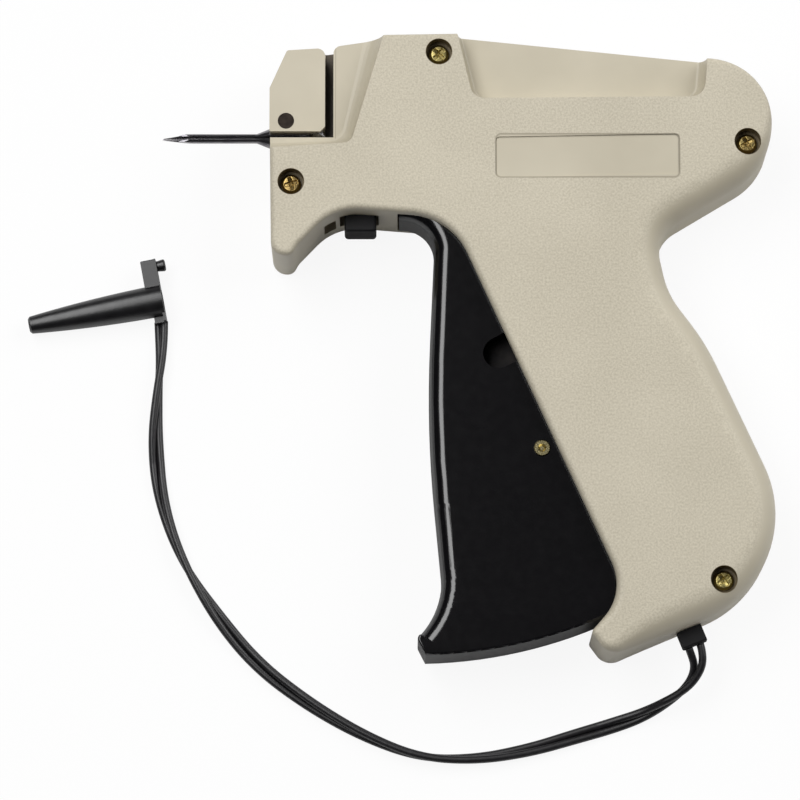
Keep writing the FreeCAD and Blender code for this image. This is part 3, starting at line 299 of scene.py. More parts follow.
# %% [markdown]
# ## The housing: moulded ABS, partly spark-eroded
#
# The two shells are injection-moulded beige ABS. The flat faces of the mould were spark-eroded, which
# leaves a fine random grain of about half a millimetre, and the rounded edges, the low zones and the label
# recess were polished. The grain is a bump from two noises with a little colour in its pits. A mask on the
# height in the object keeps it on the two flat faces, and distances in the plane of the face find the four
# screw wells and the edge round the label recess, where shade is painted into the colour as darker tones,
# as it is in the feed slot and on a line beside it.

# %% Masks: bands and overlaps


def band(tree, value, middle, full, none):
    """Mask from |value - middle|: 1 where that is at most full, 0 from none on, straight in between."""
    away = add(tree, "ShaderNodeMath", {0: value, 1: middle}, operation="SUBTRACT").outputs[0]
    away = add(tree, "ShaderNodeMath", {0: away}, operation="ABSOLUTE").outputs[0]
    return add(tree, "ShaderNodeMapRange", {"Value": away, "From Min": none, "From Max": full}).outputs[0]


def overlap(tree, first, *others):
    """Where all the masks hold: their product, one multiplication after another."""
    for mask in others:
        first = add(tree, "ShaderNodeMath", {0: first, 1: mask}, operation="MULTIPLY").outputs[0]
    return first


def painted_shade(tree, tone, mask, share, colour):
    """The tone with a share of a darker colour where the mask holds: it paints shade into the tone."""
    amount = add(tree, "ShaderNodeMath", {0: mask, 1: share}, operation="MULTIPLY").outputs[0]
    return add(tree, "ShaderNodeMix", {"Factor": amount, 6: tone, 7: linear(colour)},
               data_type="RGBA").outputs[2]


# %% Distances in the plane of the face
WELLS_MM = [(-44.2, 39.9), (-7.2, 73.2), (69.9, 50.2), (62.8, -60.2)]
WELL_R = 3.3 * MM
LABEL_MIDDLE_MM, LABEL_HALF_MM, LABEL_ROUND = (29.9, 46.5, 0.0), (23.0, 5.6, 0.0), 1.4 * MM


def distance_to_wells(tree, flat):
    """Least distance in the plane from a point to the axes of the four wells."""
    least = 1.0
    for x, y in WELLS_MM:
        axis = (x * MM, y * MM, 0.0)
        away = add(tree, "ShaderNodeVectorMath", {0: flat, 1: axis}, operation="DISTANCE").outputs["Value"]
        least = add(tree, "ShaderNodeMath", {0: away, 1: least}, operation="MINIMUM").outputs[0]
    return least


def distance_to_label(tree, flat):
    """Distance in the plane to the edge of a rounded rectangle, negative inside. With
    q = |p - middle| - (half - round) it is |max(q, 0)| + min(max(q.x, q.y), 0) - round."""
    middle = tuple(v * MM for v in LABEL_MIDDLE_MM)
    half = (LABEL_HALF_MM[0] * MM - LABEL_ROUND, LABEL_HALF_MM[1] * MM - LABEL_ROUND, 0.0)
    q = add(tree, "ShaderNodeVectorMath", {0: flat, 1: middle}, operation="SUBTRACT").outputs[0]
    q = add(tree, "ShaderNodeVectorMath", {0: q}, operation="ABSOLUTE").outputs[0]
    q = add(tree, "ShaderNodeVectorMath", {0: q, 1: half}, operation="SUBTRACT").outputs[0]
    beyond = add(tree, "ShaderNodeVectorMath", {0: q, 1: (0.0, 0.0, 0.0)}, operation="MAXIMUM").outputs[0]
    corner = add(tree, "ShaderNodeVectorMath", {0: beyond}, operation="LENGTH").outputs["Value"]
    side = add(tree, "ShaderNodeSeparateXYZ", {"Vector": q}).outputs
    inside = add(tree, "ShaderNodeMath", {0: side["X"], 1: side["Y"]}, operation="MAXIMUM").outputs[0]
    inside = add(tree, "ShaderNodeMath", {0: inside, 1: 0.0}, operation="MINIMUM").outputs[0]
    out = add(tree, "ShaderNodeMath", {0: corner, 1: inside}, operation="ADD").outputs[0]
    return add(tree, "ShaderNodeMath", {0: out, 1: LABEL_ROUND}, operation="SUBTRACT").outputs[0]


# %% Where the housing is grained, and where shade is painted: the wells, the label's edge and the feed slot
PARTING_Z = 13 * MM               # height of the housing's parting plane
GRAIN_FROM, GRAIN_FULL = 11.8 * MM, 12.6 * MM      # distances from that plane
SLOT_MM, SLOT_FLOOR, ZONE_Z = (-35.8, -33.7), 52.4 * MM, 20.0 * MM
SLOT_MIDDLE, SLOT_HALF = sum(SLOT_MM) / 2 * MM, (SLOT_MM[1] - SLOT_MM[0]) / 2 * MM
JAMB_X = (SLOT_MM[1] + 0.55) * MM
shell, tree = new_material("moulded_beige_abs")
place = add(tree, "ShaderNodeTexCoord").outputs["Object"]
along, across, height = add(tree, "ShaderNodeSeparateXYZ", {"Vector": place}).outputs
flat = add(tree, "ShaderNodeVectorMath", {0: place, 1: (1.0, 1.0, 0.0)}, operation="MULTIPLY").outputs[0]
to_well, to_label = distance_to_wells(tree, flat), distance_to_label(tree, flat)
near_side = add(tree, "ShaderNodeMapRange", {"Value": height, "From Min": PARTING_Z,
                                             "From Max": PARTING_Z + MM}).outputs[0]
core = band(tree, height, PARTING_Z, GRAIN_FROM, GRAIN_FULL)
on_face = add(tree, "ShaderNodeMath", {0: 1.0, 1: core}, operation="SUBTRACT").outputs[0]
in_label = add(tree, "ShaderNodeMapRange", {"Value": to_label, "From Min": 0.05 * MM,
                                            "From Max": -0.05 * MM}).outputs[0]
in_label = overlap(tree, in_label, near_side)
off_label = add(tree, "ShaderNodeMath", {0: 1.0, 1: in_label}, operation="SUBTRACT").outputs[0]
grained = overlap(tree, on_face, off_label)
# Masks for painted shade: inside the screw wells, round the label recess, in the feed slot and on a line
# beside it
in_well = overlap(tree, band(tree, to_well, 0.0, WELL_R, WELL_R + 0.10 * MM), near_side)
label_edge = overlap(tree, band(tree, to_label, -0.10 * MM, 0.10 * MM, 0.34 * MM), near_side)
deep_y = add(tree, "ShaderNodeMapRange", {"Value": across, "From Min": SLOT_FLOOR,
                                          "From Max": SLOT_FLOOR + 0.1 * MM}).outputs[0]
deep_z = add(tree, "ShaderNodeMapRange", {"Value": height, "From Min": ZONE_Z - 0.02 * MM,
                                          "From Max": ZONE_Z - 1.5 * MM}).outputs[0]
in_slot = overlap(tree, band(tree, along, SLOT_MIDDLE, SLOT_HALF, SLOT_HALF + 0.03 * MM), deep_y, deep_z)
beside_slot = add(tree, "ShaderNodeMapRange", {"Value": across, "From Min": 51.5 * MM,
                                               "From Max": 52.0 * MM}).outputs[0]
on_zone = band(tree, height, ZONE_Z, 0.0, 0.1 * MM)
jamb_line = overlap(tree, band(tree, along, JAMB_X, 0.04 * MM, 0.14 * MM), on_zone, beside_slot)
print("masks made for", len(WELLS_MM), "wells, the label recess and the feed slot")

# %% Housing material
GRAIN_MM = 0.50
PIT_SHARE = 0.36                  # how much of the pits' colour the grained faces take
# Colours of painted shade: in the screw wells, in the feed slot, and on the lines round the label recess and
# beside the slot
WELL_SHADE, SLOT_SHADE, EDGE_SHADE = "#6E6042", "#4A3F2E", "#7E7664"
coarse = add(tree, "ShaderNodeTexNoise", {"Vector": place, "Scale": 1 / (GRAIN_MM * MM), "Detail": 2.0,
                                          "Roughness": 0.55}).outputs["Fac"]
fine = add(tree, "ShaderNodeTexNoise", {"Vector": place, "Scale": 2.6 / (GRAIN_MM * MM),
                                        "Detail": 2.0}).outputs["Fac"]
grain = add(tree, "ShaderNodeMath", {0: fine, 1: 0.4, 2: coarse}, operation="MULTIPLY_ADD").outputs[0]
cloud = add(tree, "ShaderNodeTexNoise", {"Vector": place, "Scale": 38.0, "Detail": 3.0}).outputs["Fac"]
plain = two_tones(tree, cloud, 0.35, 0.65, "#B8B09C", "#C1B9A5")
pitted = two_tones(tree, grain, 0.48, 0.86, "#9D9481", "#DAD3C1")
speckle = add(tree, "ShaderNodeMath", {0: grained, 1: PIT_SHARE}, operation="MULTIPLY").outputs[0]
tone = add(tree, "ShaderNodeMix", {"Factor": speckle, 6: plain, 7: pitted}, data_type="RGBA").outputs[2]
# Painted shade: darker inside the screw wells
tone = painted_shade(tree, tone, in_well, 1.0, WELL_SHADE)
# Painted shade: darker inside the feed slot
tone = painted_shade(tree, tone, in_slot, 1.0, SLOT_SHADE)
# Painted shade: dark lines round the label recess and beside the slot, where walls and a small step would be
# in shade
tone = painted_shade(tree, tone, label_edge, 0.6, EDGE_SHADE)
tone = painted_shade(tree, tone, jamb_line, 0.55, EDGE_SHADE)
roughness = add(tree, "ShaderNodeMapRange", {"Value": grained, "To Min": 0.46, "To Max": 0.60}).outputs[0]
depth = add(tree, "ShaderNodeMath", {0: grain, 1: grained}, operation="MULTIPLY").outputs[0]
bumped = add(tree, "ShaderNodeBump", {"Strength": 0.45, "Distance": 0.07 * MM,
                                      "Height": depth}).outputs["Normal"]
finish_surface(tree, Base_Color=tone, Roughness=roughness, Normal=bumped, IOR=1.53)
print("grain pitch %.2f mm" % GRAIN_MM)

# %% [markdown]
# ## The trigger and the small black pieces
#
# The trigger is black ABS from a polished mould, so it shows sharp reflections. No moulding is perfectly
# flat: a slow wave of the surface, far too low to see as a shape, makes its long highlights waver a little.
# The clip release and the cord anchor are the same plastic from a duller mould. The cap and the cord are
# softer plastics.

# %% Black plastics


def black_plastic(name, colour, worn, wave_mm, wave, roughness, spread, ior, gloss=0.5, drag=0.0):
    """Black moulded plastic: a slow wave as bump, and a roughness that varies a little with a cloudy noise.
    Drag makes the walls duller, which stand square to the mould's parting plane and rub along the mould. It
    also keeps the white table from showing in them as in a mirror."""
    material, tree = new_material(name)
    coordinates = add(tree, "ShaderNodeTexCoord").outputs
    place = coordinates["Object"]
    facing = add(tree, "ShaderNodeSeparateXYZ", {"Vector": coordinates["Normal"]}).outputs["Z"]
    slow = add(tree, "ShaderNodeTexNoise", {"Vector": place, "Scale": 1 / (wave_mm * MM),
                                            "Detail": 1.0}).outputs["Fac"]
    cloud = add(tree, "ShaderNodeTexNoise", {"Vector": place, "Scale": 420.0, "Detail": 4.0,
                                             "Roughness": 0.7}).outputs["Fac"]
    tone = two_tones(tree, cloud, 0.40, 0.75, colour, worn)
    dull = add(tree, "ShaderNodeMapRange", {"Value": cloud, "From Min": 0.3, "From Max": 0.8,
                                            "To Min": roughness, "To Max": roughness + spread}).outputs[0]
    if drag:
        wall = band(tree, facing, 0.0, 0.15, 0.50)
        dull = add(tree, "ShaderNodeMath", {0: wall, 1: drag, 2: dull}, operation="MULTIPLY_ADD").outputs[0]
    bumped = add(tree, "ShaderNodeBump", {"Strength": 1.0, "Distance": wave, "Height": slow}).outputs[0]
    finish_surface(tree, Base_Color=tone, Roughness=dull, Normal=bumped, IOR=ior, Specular_IOR_Level=gloss)
    return material


trigger_black = black_plastic("polished_black_abs", "#060507", "#080709", 14, 0.02 * MM, 0.15, 0.03, 1.60,
                              drag=0.45)
small_black = black_plastic("satin_black_abs", "#0B0B0D", "#111013", 0.6, 0.010 * MM, 0.48, 0.10, 1.53,
                            gloss=0.25, drag=0.30)
cap_black = black_plastic("glossy_black_polypropylene", "#0A090B", "#0F0E11", 9, 0.03 * MM, 0.32, 0.08, 1.60)
rubber = black_plastic("black_nitrile_rubber", "#161514", "#1F1E1C", 0.4, 0.02 * MM, 0.62, 0.12, 1.52)
print("black plastics:", trigger_black.name, small_black.name, cap_black.name, rubber.name)

# %% Cord material: soft PVC, drawn lengthwise
cord_black, tree = new_material("black_soft_pvc")
run_round = add(tree, "ShaderNodeUVMap", uv_map="along").outputs["UV"]
stretched = add(tree, "ShaderNodeMapping", {"Vector": run_round, "Scale": (40.0, 9.0, 1.0)}).outputs["Vector"]
streaks = add(tree, "ShaderNodeTexNoise", {"Vector": stretched, "Scale": 1.0, "Detail": 3.0}).outputs["Fac"]
place = add(tree, "ShaderNodeTexCoord").outputs["Object"]
dust = add(tree, "ShaderNodeTexNoise", {"Vector": place, "Scale": 900.0, "Detail": 4.0}).outputs["Fac"]
tone = two_tones(tree, dust, 0.45, 0.85, "#141315", "#232225")
dull = add(tree, "ShaderNodeMapRange", {"Value": streaks, "From Min": 0.3, "From Max": 0.7,
                                        "To Min": 0.34, "To Max": 0.46}).outputs["Result"]
bumped = add(tree, "ShaderNodeBump", {"Strength": 0.5, "Distance": 0.04 * MM, "Height": streaks}).outputs[0]
finish_surface(tree, Base_Color=tone, Roughness=dull, Normal=bumped, IOR=1.53)
twin_cord.data.materials.append(cord_black)

# %% [markdown]
# ## Metals
#
# A metal's colour is the colour of its reflection, and its finish is in its roughness: the needle is ground
# lengthwise, pins are centreless ground, the lever is a stamped steel plate with a black oxide coat,
# springs are drawn wire, the rivet and the bush are turned brass, and the screws are zinc plated with a
# yellow passivation that is never even.

# %% Metals


def metal(name, colour, tint, patch, roughness, spread, streak=(1.0, 1.0, 1.0), scratch=0.004 * MM):
    """Bare or plated metal: two tones in patches, and fine marks that the streak stretches along one axis."""
    material, tree = new_material(name)
    place = add(tree, "ShaderNodeTexCoord").outputs["Object"]
    cloud = add(tree, "ShaderNodeTexNoise", {"Vector": place, "Scale": patch, "Detail": 3.0}).outputs["Fac"]
    tone = two_tones(tree, cloud, 0.38, 0.66, colour, tint)
    drawn = add(tree, "ShaderNodeMapping", {"Vector": place, "Scale": streak}).outputs["Vector"]
    marks = add(tree, "ShaderNodeTexNoise", {"Vector": drawn, "Scale": 3000.0, "Detail": 4.0}).outputs["Fac"]
    dull = add(tree, "ShaderNodeMapRange", {"Value": marks, "From Min": 0.3, "From Max": 0.7,
                                            "To Min": roughness, "To Max": roughness + spread}).outputs[0]
    bumped = add(tree, "ShaderNodeBump", {"Strength": 0.6, "Distance": scratch, "Height": marks}).outputs[0]
    finish_surface(tree, Base_Color=tone, Roughness=dull, Normal=bumped, Metallic=1.0)
    return material


needle_steel = metal("ground_stainless_steel", "#8C8A8C", "#77757A", 260.0, 0.16, 0.10,
                     streak=(0.06, 1.0, 1.0))
pin_steel = metal("centreless_ground_steel", "#A9A8A6", "#9C9B9A", 300.0, 0.20, 0.12,
                  streak=(1.0, 1.0, 0.1))
oxide_steel = metal("black_oxide_steel", "#201F20", "#2A2827", 240.0, 0.36, 0.14)
spring_wire = metal("drawn_spring_steel", "#8E8C88", "#7F7D7B", 200.0, 0.24, 0.12)
brass = metal("turned_brass", "#C2B27A", "#A99A63", 500.0, 0.18, 0.12)
passivated = metal("yellow_passivated_zinc", "#B9AC70", "#A58C58", 90.0, 0.24, 0.14)
lock_steel = metal("browned_steel", "#2C2724", "#36302B", 700.0, 0.50, 0.14, streak=(0.1, 1.0, 1.0))
rivet_brass = metal("headed_brass", "#C2B68A", "#B3A678", 500.0, 0.20, 0.12)
print("metals:", len([m for m in bpy.data.materials if m.name.endswith(("steel", "brass", "zinc"))]))

# %% Painted shade: the rivet's head is darker round its rim, where it meets the trigger
RIVET_MM, RIM_FROM, RIM_FULL = (18.24, -26.90), 1.75 * MM, 1.90 * MM
tree = rivet_brass.node_tree
shader = next(node for node in tree.nodes if node.type == "BSDF_PRINCIPLED")
place = add(tree, "ShaderNodeTexCoord").outputs["Object"]
flat = add(tree, "ShaderNodeVectorMath", {0: place, 1: (1.0, 1.0, 0.0)}, operation="MULTIPLY").outputs[0]
from_axis = add(tree, "ShaderNodeVectorMath", {0: flat, 1: (RIVET_MM[0] * MM, RIVET_MM[1] * MM, 0.0)},
                operation="DISTANCE").outputs["Value"]
rim = add(tree, "ShaderNodeMapRange", {"Value": from_axis, "From Min": RIM_FROM,
                                       "From Max": RIM_FULL}).outputs[0]
# The rim's dark colour is painted shade
tone = painted_shade(tree, shader.inputs["Base Color"].links[0].from_socket, rim, 1.0, "#3A3424")
tree.links.new(tone, shader.inputs["Base Color"])

# %% Acetal: a waxy white plastic for sliding parts
acetal, tree = new_material("natural_acetal")
place = add(tree, "ShaderNodeTexCoord").outputs["Object"]
cloud = add(tree, "ShaderNodeTexNoise", {"Vector": place, "Scale": 260.0, "Detail": 4.0}).outputs["Fac"]
tone = two_tones(tree, cloud, 0.35, 0.7, "#E9E7E0", "#DEDBD2")
bumped = add(tree, "ShaderNodeBump", {"Strength": 0.3, "Distance": 0.02 * MM, "Height": cloud}).outputs[0]
finish_surface(tree, Base_Color=tone, Roughness=0.38, Normal=bumped, IOR=1.48)

# %% Give every carried-over node its finish
FINISH = {
    "left_shell": shell, "right_shell": shell, "trigger": trigger_black, "release_lever": small_black,
    "cord_anchor": small_black, "needle_cap": cap_black, "carriage_buffer": rubber, "needle": needle_steel,
    "trigger_pivot_pin": pin_steel, "lever_fulcrum_pin": pin_steel, "drive_pin": pin_steel,
    "pusher_rod": pin_steel, "feed_wheel_pin": pin_steel, "release_lever_pin": pin_steel, "knife": pin_steel,
    "drive_lever": oxide_steel, "feed_finger": spring_wire, "return_spring": spring_wire,
    "release_spring": spring_wire, "trigger_link_pin": rivet_brass, "rod_guide": brass,
    "needle_lock": lock_steel, "carriage": acetal, "feed_wheel": acetal, "housing_screws": passivated,
}
for name, material in FINISH.items():
    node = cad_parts[name]
    node.data.materials.clear()
    node.data.materials.append(material)
print("nodes with a finish: %d of %d" % (len(FINISH), len(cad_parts)))

# %% [markdown]
# ## The back edge of the trigger
#
# The trigger's two flanks are open at the back and run in behind the grip. In the frame their back edge is
# straight; on the real moulding it bellies out near the foot, so that no light comes through beside the
# grip. A strip stuck to each flank would show its joint, so the whole trigger is replaced by a merged copy
# of its mesh: the copy is cut into slices, and the points on the back edge are moved out, in the plane of
# the flank. Each point's normal is weighted by the area of the faces round it, which keeps the flat faces
# nearly flat in shading beside the round edges.

# %% A copy of the trigger with a fuller back
BACK_TOP_MM, BACK_FOOT_MM = (26.07, -26.10), (35.33, -67.49)
BELLY_MM, BELLY_FROM_MM, BELLY_TO_MM = 3.2, -41.0, -66.9      # x grows by belly * sin(pi * share) ^ 0.8
ON_EDGE_MM = 0.03
SLICES = 24


def back_edge_at(y_mm):
    """Place of the straight back edge: x = x_top + (y - y_top) * slope."""
    slope = (BACK_FOOT_MM[0] - BACK_TOP_MM[0]) / (BACK_FOOT_MM[1] - BACK_TOP_MM[1])
    return BACK_TOP_MM[0] + (y_mm - BACK_TOP_MM[1]) * slope


def sliced_copy(source):
    """The source's mesh with its doubles merged, cut by planes across y so that its long edges can bend."""
    work = bmesh.new()
    work.from_mesh(source)
    bmesh.ops.remove_doubles(work, verts=work.verts[:], dist=1e-6)
    for y_mm in np.linspace(BELLY_FROM_MM, BELLY_TO_MM, SLICES + 1):
        bmesh.ops.bisect_plane(work, geom=work.verts[:] + work.edges[:] + work.faces[:], dist=1e-7,
                               plane_co=(0.0, y_mm * MM, 0.0), plane_no=(0.0, 1.0, 0.0))
    mesh = bpy.data.meshes.new("fuller_trigger")
    work.to_mesh(mesh)
    work.free()
    return mesh


# %% Move the points of its back edge
mesh = sliced_copy(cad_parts["trigger"].data)
if "custom_normal" in mesh.attributes:
    mesh.attributes.remove(mesh.attributes["custom_normal"])
places = np.empty(len(mesh.vertices) * 3)
mesh.vertices.foreach_get("co", places)
x_mm, y_mm = places[0::3] * 1000, places[1::3] * 1000
share = np.clip((BELLY_FROM_MM - y_mm) / (BELLY_FROM_MM - BELLY_TO_MM), 0.0, 1.0)
on_edge = np.abs(x_mm - back_edge_at(y_mm)) < ON_EDGE_MM
places[0::3] += on_edge * BELLY_MM * np.sin(math.pi * share) ** 0.8 * MM
mesh.vertices.foreach_set("co", places)
mesh.shade_smooth()
mesh.set_sharp_from_angle(angle=math.radians(28))
mesh.update()
fuller_trigger = bpy.data.objects.new("fuller_trigger", mesh)
scene.collection.objects.link(fuller_trigger)
weighted = fuller_trigger.modifiers.new("flat_faces_stay_flat", "WEIGHTED_NORMAL")
weighted.keep_sharp = True
fuller_trigger.data.materials.append(trigger_black)
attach(fuller_trigger, "trigger")
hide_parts("trigger")
print("points on the back edge moved:", int((on_edge & (share > 0) & (share < 1)).sum()))

# %% [markdown]
# ## The spring of the clip release
#
# A small compression spring sits beside the clip release. In the frame it is rigid, and the tab of the
# pressed release would cut a little into its side. Here a narrower spring replaces it, which clears the
# tab: one round wire carried along a helix. Like the frame's spring it ends short of the release.

# %% The surface of the release spring
spring_low, spring_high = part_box("release_spring")
WIRE_R = 0.2 * MM
TURNS, STEPS, WIRE_SIDES = 3.0, 121, 12
COIL_R = 0.75 * MM                # from the spring's axis to the middle of the wire
COIL_Y = spring_high.y - WIRE_R - COIL_R


def coil_grid():
    """Rings round a helix (x, r cos a, r sin a): each ring is wire_r * (radial * cos t + across * sin t)."""
    a = np.linspace(0.0, 2 * math.pi * TURNS, STEPS)
    x = np.linspace(spring_low.x + WIRE_R, spring_high.x - WIRE_R, STEPS)
    radial = np.column_stack([0 * a, np.cos(a), np.sin(a)])
    line = np.column_stack([x, 0 * a, 0 * a]) + COIL_R * radial
    line += [0.0, COIL_Y, (spring_low.z + spring_high.z) / 2]
    along = np.gradient(line, axis=0)
    across = np.cross(along / np.linalg.norm(along, axis=1)[:, None], radial)
    t = np.linspace(0, 2 * math.pi, WIRE_SIDES, endpoint=False)
    return line[:, None, :] + WIRE_R * (radial[:, None, :] * np.cos(t)[None, :, None]
                                        + across[:, None, :] * np.sin(t)[None, :, None])


# %% Close its ends and give it a mesh of its own
rings = coil_grid()
last, k = (STEPS - 1) * WIRE_SIDES, np.arange(WIRE_SIDES)
following, hub = (k + 1) % WIRE_SIDES, STEPS * WIRE_SIDES
caps = [np.column_stack([np.full(WIRE_SIDES, hub), following, k]),
        np.column_stack([np.full(WIRE_SIDES, hub + 1), last + k, last + following])]
coil = new_piece("release_coil_spring", np.concatenate([rings.reshape(-1, 3), rings[[0, -1]].mean(axis=1)]),
                 grid_faces(STEPS, WIRE_SIDES, around=True), np.concatenate(caps))
coil.data.materials.append(spring_wire)
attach(coil, "housing")
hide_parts("release_spring")
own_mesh(coil)
print("release spring: %.1f mm long" % (1000 * (spring_high.x - spring_low.x)))

# %% [markdown]
# ## The screws
#
# Four self-tapping screws hold the shells together. Each is a pan head with a cross recess on a threaded
# shank. One grid in polar coordinates makes the whole screw: its rings run in over the head, down the rim
# and along the shank to the tip. The recess is cut by lowering the points of the head where they lie inside
# a cross, and the thread by raising the points of the shank along a helix.

# %% Screw surface
HEAD_R = 2.42 * MM
HEAD_H = 1.6 * MM
SHANK_R = 1.4 * MM
ROOT_R = 1.0 * MM
PITCH = 1.1 * MM
CREST_SHARE = 0.22                # half of a crest's foot, as a share of the pitch
SCREW_SIDES = 96
TIP_R = 0.05 * MM
WING_REACH = 1.65 * MM            # the cross recess: from its middle to a wing's end
WING_HALF_MM, WING_TAPER_MM = 0.54, 0.14           # half of a wing's width in the middle, less at its end
RECESS_DEPTH, RECESS_RISE = 1.15 * MM, 0.50        # depth in the middle, and how it gets less along a wing
RECESS_WALL = 0.16 * MM


def cross_depth(x, y):
    """Depth of the cross recess: deepest in the middle, shallower along each wing, with steep walls."""
    depth = np.zeros_like(x)
    for along, across in ((np.abs(x), np.abs(y)), (np.abs(y), np.abs(x))):
        half_width = (WING_HALF_MM - WING_TAPER_MM * along / WING_REACH) * MM
        wall = smooth_step((half_width - across) / RECESS_WALL + 0.5)
        end = smooth_step((WING_REACH - along) / RECESS_WALL + 0.5)
        depth = np.maximum(depth, wall * end * (RECESS_DEPTH - RECESS_RISE * along))
    return depth


def screw_grid(seat, length, turned):
    """Rings of the screw from the middle of its head to its tip. Seat is the height of the head's underside.
    The crown falls by 0.08 s^2 + 0.36 step(s)^2 of the head's height, where s is the share of its radius."""
    angle = np.linspace(0, 2 * math.pi, SCREW_SIDES, endpoint=False)
    inner = np.linspace(0.02, 1.0, 34)[:, None] * HEAD_R
    x, y = inner * np.cos(angle), inner * np.sin(angle)
    share = inner / HEAD_R
    crown = HEAD_H * (1 - 0.08 * share ** 2 - 0.36 * smooth_step((share - 0.70) / 0.30) ** 2)
    top = np.stack([x, y, crown - cross_depth(x, y)], axis=-1)
    wide, tall = np.array([(1.0, 0.30), (1.0, 0.06), (0.97, 0.0), (0.66, 0.0)]).T[..., None]
    rim = np.stack([HEAD_R * wide * np.cos(angle), HEAD_R * wide * np.sin(angle),
                    tall * HEAD_H + 0 * angle], axis=-1)
    down = np.linspace(0.0, 1.0, 110)[:, None]
    helix = (down * length / PITCH + angle / (2 * math.pi)) % 1.0
    crest = np.maximum(0.0, 1 - np.abs(helix - 0.5) / CREST_SHARE)
    taper = smooth_step((1.0 - down) / 0.12)
    radius = (ROOT_R + (SHANK_R - ROOT_R) * crest * smooth_step(down / 0.06)) * taper + TIP_R
    shank = np.stack([radius * np.cos(angle), radius * np.sin(angle), -down * length + 0 * angle], axis=-1)
    rings = np.concatenate([top, rim, shank])
    c, s = math.cos(math.radians(turned)), math.sin(math.radians(turned))
    rings = rings @ np.array([[c, s, 0.0], [-s, c, 0.0], [0.0, 0.0, 1.0]])
    rings[..., 2] += seat
    return rings


# %% Place the four screws where the frame has them
screw_low, screw_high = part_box("housing_screws")
SEAT = screw_high.z - 1.9 * MM    # underside of the heads
SCREW_LENGTH = SEAT - screw_low.z
SCREW_TURN = [17.0, 45.0, 30.0, 38.0]
points, quads, caps = [], [], []
for number, ((x, y), turn) in enumerate(zip(WELLS_MM, SCREW_TURN)):
    rings = screw_grid(SEAT, SCREW_LENGTH, turn) + np.array([x * MM, y * MM, 0.0])
    count = len(rings)
    first = number * (count * SCREW_SIDES + 2)
    points += [rings.reshape(-1, 3), rings[[0, -1]].mean(axis=1)]
    quads.append(grid_faces(count, SCREW_SIDES, around=True)[:, ::-1] + first)
    k = np.arange(SCREW_SIDES)
    following = (k + 1) % SCREW_SIDES
    hub = first + count * SCREW_SIDES
    last = first + (count - 1) * SCREW_SIDES
    caps.append(np.column_stack([np.full(SCREW_SIDES, hub), first + k, first + following]))
    caps.append(np.column_stack([np.full(SCREW_SIDES, hub + 1), last + following, last + k]))
screws = new_piece("cross_recess_screws", np.concatenate(points), np.concatenate(quads), np.concatenate(caps))
screws.data.materials.append(passivated)
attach(screws, "housing")
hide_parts("housing_screws")

# %% [markdown]
# ## The studio
#
# A white table runs up into a wall on every side, as paper does in a studio, so the background has no edge.
# The camera sees the paper nearly pure white, glossy surfaces see it a little whiter than its real, lit
# colour, and a small share of that lit colour keeps a faint shadow of the object. The paper is grey towards
# the wall, and above is darkness, so gloss black stays black. Two soft boxes light the object: a long one
# on the left gives the trigger and the cap their highlights, and a weaker one far to the right models the
# round back of the grip.

# %% Table and wall
TABLE_R, SWEEP, WALL_TOP = 2.2, 0.8, 2.6
SHEET_SIDES = 64


def studio_profile():
    """Radius and height of the sheet: flat, then a quarter circle up, then straight."""
    flat = [(r, 0.0) for r in np.linspace(0.05, TABLE_R, 12)]
    quarter = np.linspace(0, math.pi / 2, 12)[1:]
    bend = [(TABLE_R + SWEEP * math.sin(a), SWEEP * (1 - math.cos(a))) for a in quarter]
    return np.array(flat + bend + [(TABLE_R + SWEEP, WALL_TOP)])


angle = np.linspace(0, 2 * math.pi, SHEET_SIDES, endpoint=False)
radius, rise = studio_profile().T[..., None]
sheet = np.stack([radius * np.cos(angle), radius * np.sin(angle), rise + 0 * angle], axis=-1).reshape(-1, 3)
quads = grid_faces(len(radius), SHEET_SIDES, around=True)[:, ::-1]
k = np.arange(SHEET_SIDES)
middle = np.column_stack([np.full(SHEET_SIDES, len(sheet)), k, (k + 1) % SHEET_SIDES])
studio = new_piece("studio_sheet", np.concatenate([sheet, [[0.0, 0.0, 0.0]]]), quads, middle, smooth=False)

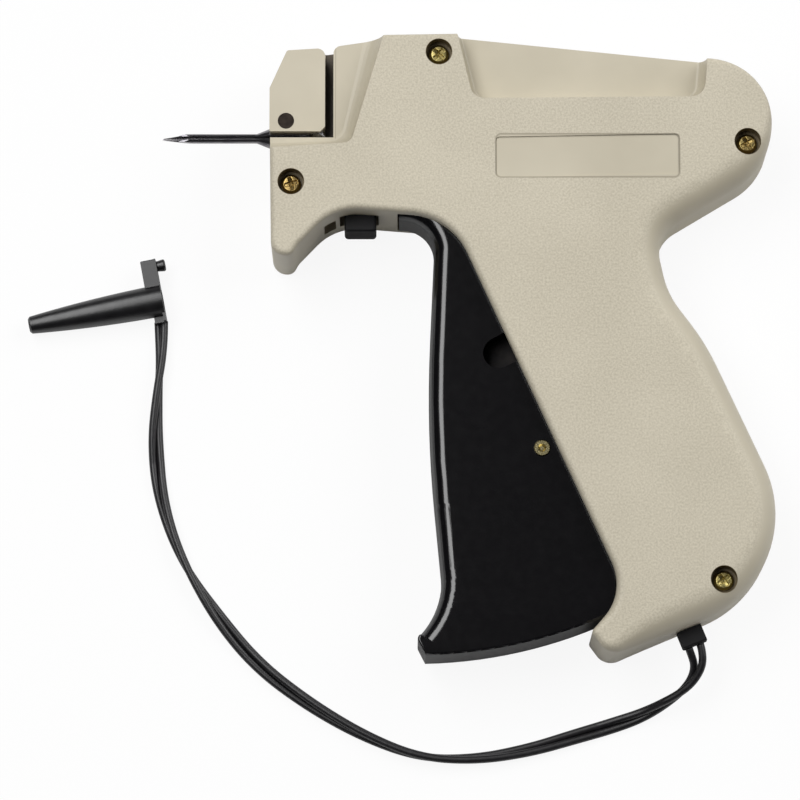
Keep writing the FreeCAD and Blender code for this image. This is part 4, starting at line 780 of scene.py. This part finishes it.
paper, tree = new_material("white_paper")
LIT_SHARE = 0.09                  # of the paper's lit colour in what the camera sees
MIRRORED_SHARE = 0.20             # of its glow in what glossy surfaces see
path = add(tree, "ShaderNodeLightPath").outputs
seen = add(tree, "ShaderNodeMath", {0: path["Is Camera Ray"], 1: path["Is Transmission Ray"]},
           operation="MAXIMUM").outputs[0]
seen = add(tree, "ShaderNodeMath", {0: seen, 1: 1 - LIT_SHARE}, operation="MULTIPLY").outputs[0]
mirrored = add(tree, "ShaderNodeMath", {0: path["Is Glossy Ray"], 1: MIRRORED_SHARE},
               operation="MULTIPLY").outputs[0]
share = add(tree, "ShaderNodeMath", {0: seen, 1: mirrored}, operation="MAXIMUM").outputs[0]
place = add(tree, "ShaderNodeTexCoord").outputs["Object"]
away = add(tree, "ShaderNodeVectorMath", {0: place}, operation="LENGTH").outputs["Value"]
lit_tone = two_tones(tree, away, 0.40, 1.0, "#F0F0F0", "#6E6E70")
glow_tone = two_tones(tree, away, 0.40, 1.0, "#FFFFFF", "#6E6E70")
lit = add(tree, "ShaderNodeBsdfDiffuse", {"Color": lit_tone}).outputs[0]
glow = add(tree, "ShaderNodeEmission", {"Color": glow_tone, "Strength": 1.0}).outputs[0]
both = add(tree, "ShaderNodeMixShader", {0: share, 1: lit, 2: glow}).outputs[0]
add(tree, "ShaderNodeOutputMaterial", {"Surface": both})
studio.data.materials.append(paper)

# %% Lamps and world


def soft_box(name, place, aim, width, length, radiance):
    """Area lamp. Its power is radiance * pi * area, so its size doesn't change how bright it looks."""
    lamp = bpy.data.lights.new(name, "AREA")
    lamp.shape = "RECTANGLE"
    lamp.size, lamp.size_y = width, length
    lamp.energy = radiance * math.pi * width * length
    holder = bpy.data.objects.new(name, lamp)
    scene.collection.objects.link(holder)
    back = (Vector(place) - Vector(aim)).normalized()
    side = Vector((0.0, 1.0, 0.0)).cross(back).normalized()
    turn = Matrix((side, back.cross(side), back)).transposed().to_4x4()
    holder.matrix_world = Matrix.Translation(place) @ turn
    return holder


soft_box("left_box", (-0.58, 0.42, 1.26), (0.0, 0.0, 0.0), 0.72, 1.45, 5.7)
soft_box("right_box", (1.05, 0.60, 1.0), (0.0, 0.0, 0.0), 0.9, 1.4, 3.9)
world = bpy.data.worlds.new("studio_air")
scene.world = world
world.use_nodes = True
world.node_tree.nodes.clear()
air = add(world.node_tree, "ShaderNodeBackground", {"Color": linear("#F2F4F7"), "Strength": 0.06})
add(world.node_tree, "ShaderNodeOutputWorld", {"Surface": air.outputs[0]})
